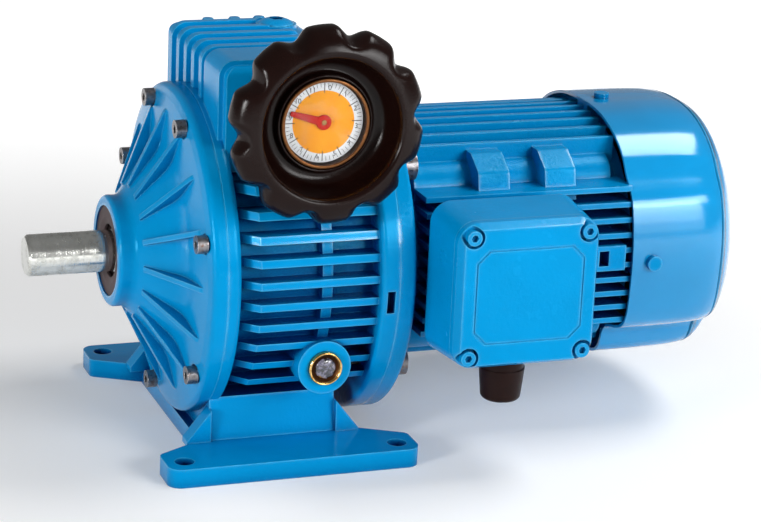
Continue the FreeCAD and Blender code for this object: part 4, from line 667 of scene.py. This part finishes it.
COWL_LENGTH = 86.0
COWL_SHEET = 1.8
# The dome: its radius, where it starts, how it falls away and how softly it meets the section
COWL_DOME_R = 125.0
COWL_DOME_START = 17.0
DOME_FALL = 1.3
DOME_ROUND = 2.25
DOME_MEETING = 10


def smooth_loop(corners, steps):
    """Closed smooth line through corners, steps points to each of them."""
    count = len(corners)
    points = []
    for k in range(count):
        a, b, c, d = (Vector(corners[(k + shift) % count]) for shift in (-1, 0, 1, 2))
        for step in range(steps):
            t = step / steps
            curve = 2 * b + (c - a) * t + (2 * a - 5 * b + 4 * c - d) * t ** 2
            points.append(0.5 * (curve + (3 * b - a - 3 * c + d) * t ** 3))
    return points


def dome_radius(along):
    """Largest radius that the cowl's dome leaves at a place along it."""
    share = max(0.0, along - COWL_DOME_START) / (COWL_LENGTH - COWL_DOME_START)
    return COWL_DOME_R * (1.0 - share ** DOME_FALL) ** (1.0 / DOME_ROUND)


def dome_place(radius):
    """Place along the cowl where its dome has a radius."""
    share = (1.0 - (radius / COWL_DOME_R) ** DOME_ROUND) ** (1.0 / DOME_FALL)
    return COWL_DOME_START + share * (COWL_LENGTH - COWL_DOME_START)


def on_spoke(spot, radius):
    """Whether a place on the section lies on a spoke of the grille at a radius."""
    pitch = 2 * math.pi / GRILLE_SPOKES
    turn = math.atan2(spot.y, spot.x) / pitch
    return abs(turn - round(turn)) * pitch * radius <= SPOKE_HALF


def thicken(form, depth):
    """Give a sheet an inner side and close its rims with sharp edges."""
    outer = list(form.faces)
    rim = [edge.link_loops[0] for edge in form.edges if edge.is_boundary]
    rim = [(loop.vert, loop.link_loop_next.vert) for loop in rim]
    inner = {v: form.verts.new(v.co - v.normal * depth) for v in list(form.verts)}
    for face in outer:
        form.faces.new([inner[v] for v in reversed(face.verts)])
    for a, b in rim:
        edge_face = form.faces.new((b, a, inner[a], inner[b]))
        for edge in edge_face.edges:
            edge.smooth = False


def cowl_sheet():
    """Mesh of the cowl: the section drawn back into a dome, with ring slots in the dome."""
    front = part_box("fan_cowl")[0].x + COWL_SETBACK * MM
    far_side = [(-y, z) for y, z in COWL_EDGE[-2:0:-1]]
    section = smooth_loop(list(COWL_EDGE) + far_side, COWL_STEPS)
    rows = [(along, dome_radius(along)) for along in COWL_LENGTHS]
    rows += [(dome_place(radius), radius) for radius in COWL_RINGS + GRILLE_RINGS]
    form = bmesh.new()
    rings = []
    for along, limit in rows:
        ring = []
        for spot in section:
            reach = spot.length ** -DOME_MEETING + limit ** -DOME_MEETING
            y, z = spot * (reach ** (-1 / DOME_MEETING) / spot.length)
            ring.append(form.verts.new((front + along * MM, y * MM, (SHAFT_Z + z) * MM)))
        rings.append(ring)
    tip = form.verts.new((front + COWL_LENGTH * MM, 0.0, SHAFT_Z * MM))
    count = len(section)
    first_slot = len(COWL_LENGTHS) + len(COWL_RINGS)
    for row, (near, back) in enumerate(zip(rings, rings[1:])):
        slotted = row >= first_slot and (row - first_slot) % 2 == 0
        middle = (rows[row][1] + rows[row + 1][1]) / 2
        for k in range(count):
            if not slotted or on_spoke(section[k], middle):
                after = (k + 1) % count
                form.faces.new((near[k], near[after], back[after], back[k]))
    for k in range(count):
        form.faces.new((rings[-1][k], rings[-1][(k + 1) % count], tip))
    form.normal_update()
    if max(form.verts, key=lambda v: v.co.z).normal.z < 0:
        bmesh.ops.reverse_faces(form, faces=form.faces)
        form.normal_update()
    thicken(form, COWL_SHEET * MM)
    for face in form.faces:
        face.smooth = True
    return finished_mesh("cowl_sheet", form)


cowl = new_piece("cowl_sheet", cowl_sheet(), "housing", finishes["blue_sheet"])
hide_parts("fan_cowl")


# Floor, light and camera

FLOOR_HALF = 6.0
# The floor's glow: from and to distance in metres, from and to level
NEAR_GLOW = (0.22, 0.95, 0.17, 0.69)
FAR_GLOW = (1.0, 3.0, 0.0, 0.20)


def stage_floor():
    """Pale floor that keeps the shadow and reads as white round the object."""
    form = bmesh.new()
    bmesh.ops.create_grid(form, x_segments=1, y_segments=1, size=FLOOR_HALF)
    mesh = finished_mesh("studio_floor", form)
    floor = bpy.data.objects.new("studio_floor", mesh)
    scene.collection.objects.link(floor)
    pale = Finish(
        "pale_floor", Base_Color=(0.86, 0.86, 0.86), Roughness=0.9, Specular_IOR_Level=0.1,
        Emission_Strength=1.0,
    )
    seen = pale.add("LightPath", out="Is Camera Ray")
    for kind in ("Is Glossy Ray", "Is Transmission Ray"):
        seen = seen + pale.add("LightPath", out=kind)
    away = pale.add("VectorMath", {"operation": "LENGTH"}, {0: pale.place()}, out="Value")
    glow = pale.between(away, *NEAR_GLOW) + pale.between(away, *FAR_GLOW)
    pale.feed(Emission_Color=pale.blend(glow * seen, (0.0, 0.0, 0.0), (1.0, 1.0, 1.0)))
    mesh.materials.append(pale.material)


def softbox(name, place, aim, width, height, power):
    """Rectangular studio light."""
    lamp = bpy.data.lights.new(name, "AREA")
    lamp.shape = "RECTANGLE"
    lamp.size = width
    lamp.size_y = height
    lamp.energy = power
    holder = bpy.data.objects.new(name, lamp)
    scene.collection.objects.link(holder)
    holder.location = place
    ray = Vector(aim) - Vector(place)
    holder.rotation_euler = ray.to_track_quat("-Z", "Y").to_euler()


def studio_world():
    """Pale walls all round, under a dimmer ceiling."""
    world = bpy.data.worlds.new("studio")
    world.use_nodes = True
    scene.world = world
    walls = NodeBench(world.node_tree)
    way = walls.add("TexCoord", out="Generated")
    height = walls.add("SeparateXYZ", sockets={0: way}, out="Z")
    sockets = {"Value": height, "From Min": 0.12, "From Max": 0.42}
    sockets.update({"To Min": 0.26, "To Max": 0.20})
    ground = world.node_tree.nodes["Background"]
    walls.join(ground.inputs["Color"], (1.0, 1.0, 1.0))
    walls.join(ground.inputs["Strength"], walls.add("MapRange", sockets=sockets))


PHOTO_WIDTH = 761
FOCAL_PIXELS = 2674.2
SENSOR_WIDTH = 36.0
YAW, PITCH, ROLL = math.radians(20.44), math.radians(17.51), math.radians(2.62)
# A point on the shaft axis, and where it lies from the camera: right, down, ahead
SHAFT_POINT = Vector((-0.085, 0, 0.106))
SHAFT_POINT_SEEN = Vector((-0.15663, -0.00595, 1.52498))


def photo_camera():
    """Camera at the photograph's place."""
    level = math.cos(PITCH)
    ahead = Vector((math.sin(YAW) * level, math.cos(YAW) * level, -math.sin(PITCH)))
    right = Vector((math.cos(YAW), -math.sin(YAW), 0))
    up = right.cross(ahead)
    tilted_right = math.cos(ROLL) * right + math.sin(ROLL) * up
    tilted_up = -math.sin(ROLL) * right + math.cos(ROLL) * up
    view = Matrix((tilted_right, -tilted_up, ahead))
    lens = bpy.data.cameras.new("photo_camera")
    lens.sensor_width = SENSOR_WIDTH
    lens.lens = FOCAL_PIXELS / PHOTO_WIDTH * SENSOR_WIDTH
    lens.clip_end = 50.0
    camera = bpy.data.objects.new("photo_camera", lens)
    scene.collection.objects.link(camera)
    stand = Matrix((tilted_right, tilted_up, -ahead)).transposed().to_4x4()
    stand.translation = SHAFT_POINT - view.transposed() @ SHAFT_POINT_SEEN
    camera.matrix_world = stand
    scene.camera = camera


MIDDLE = (0.0, 0.0, 0.12)
COWL_SIDE = (0.20, 0.0, 0.30)
# Name, place, aim, width, height in metres, power in watts
SOFTBOXES = (
    ("key_softbox", (1.08, -1.31, 0.78), (0.12, 0.0, 0.12), 0.80, 0.36, 7.6),
    ("upper_strip", (0.98, -1.49, 0.63), COWL_SIDE, 0.66, 0.32, 5.0),
    ("middle_strip", (0.98, -1.49, 0.38), COWL_SIDE, 0.66, 0.20, 1.9),
    ("lower_strip", (0.98, -1.49, 0.20), COWL_SIDE, 0.66, 0.16, 0.7),
    ("rim_strip", (0.54, -1.40, 0.56), (0.08, 0.0, 0.12), 0.18, 0.40, 3.2),
    ("left_softbox", (-1.35, -0.75, 0.45), MIDDLE, 0.32, 0.32, 14.0),
    ("top_softbox", (0.95, -0.05, 1.45), (0.15, 0.0, 0.12), 0.80, 0.50, 13.0),
)
stage_floor()
for lamp_row in SOFTBOXES:
    softbox(*lamp_row)
studio_world()
photo_camera()
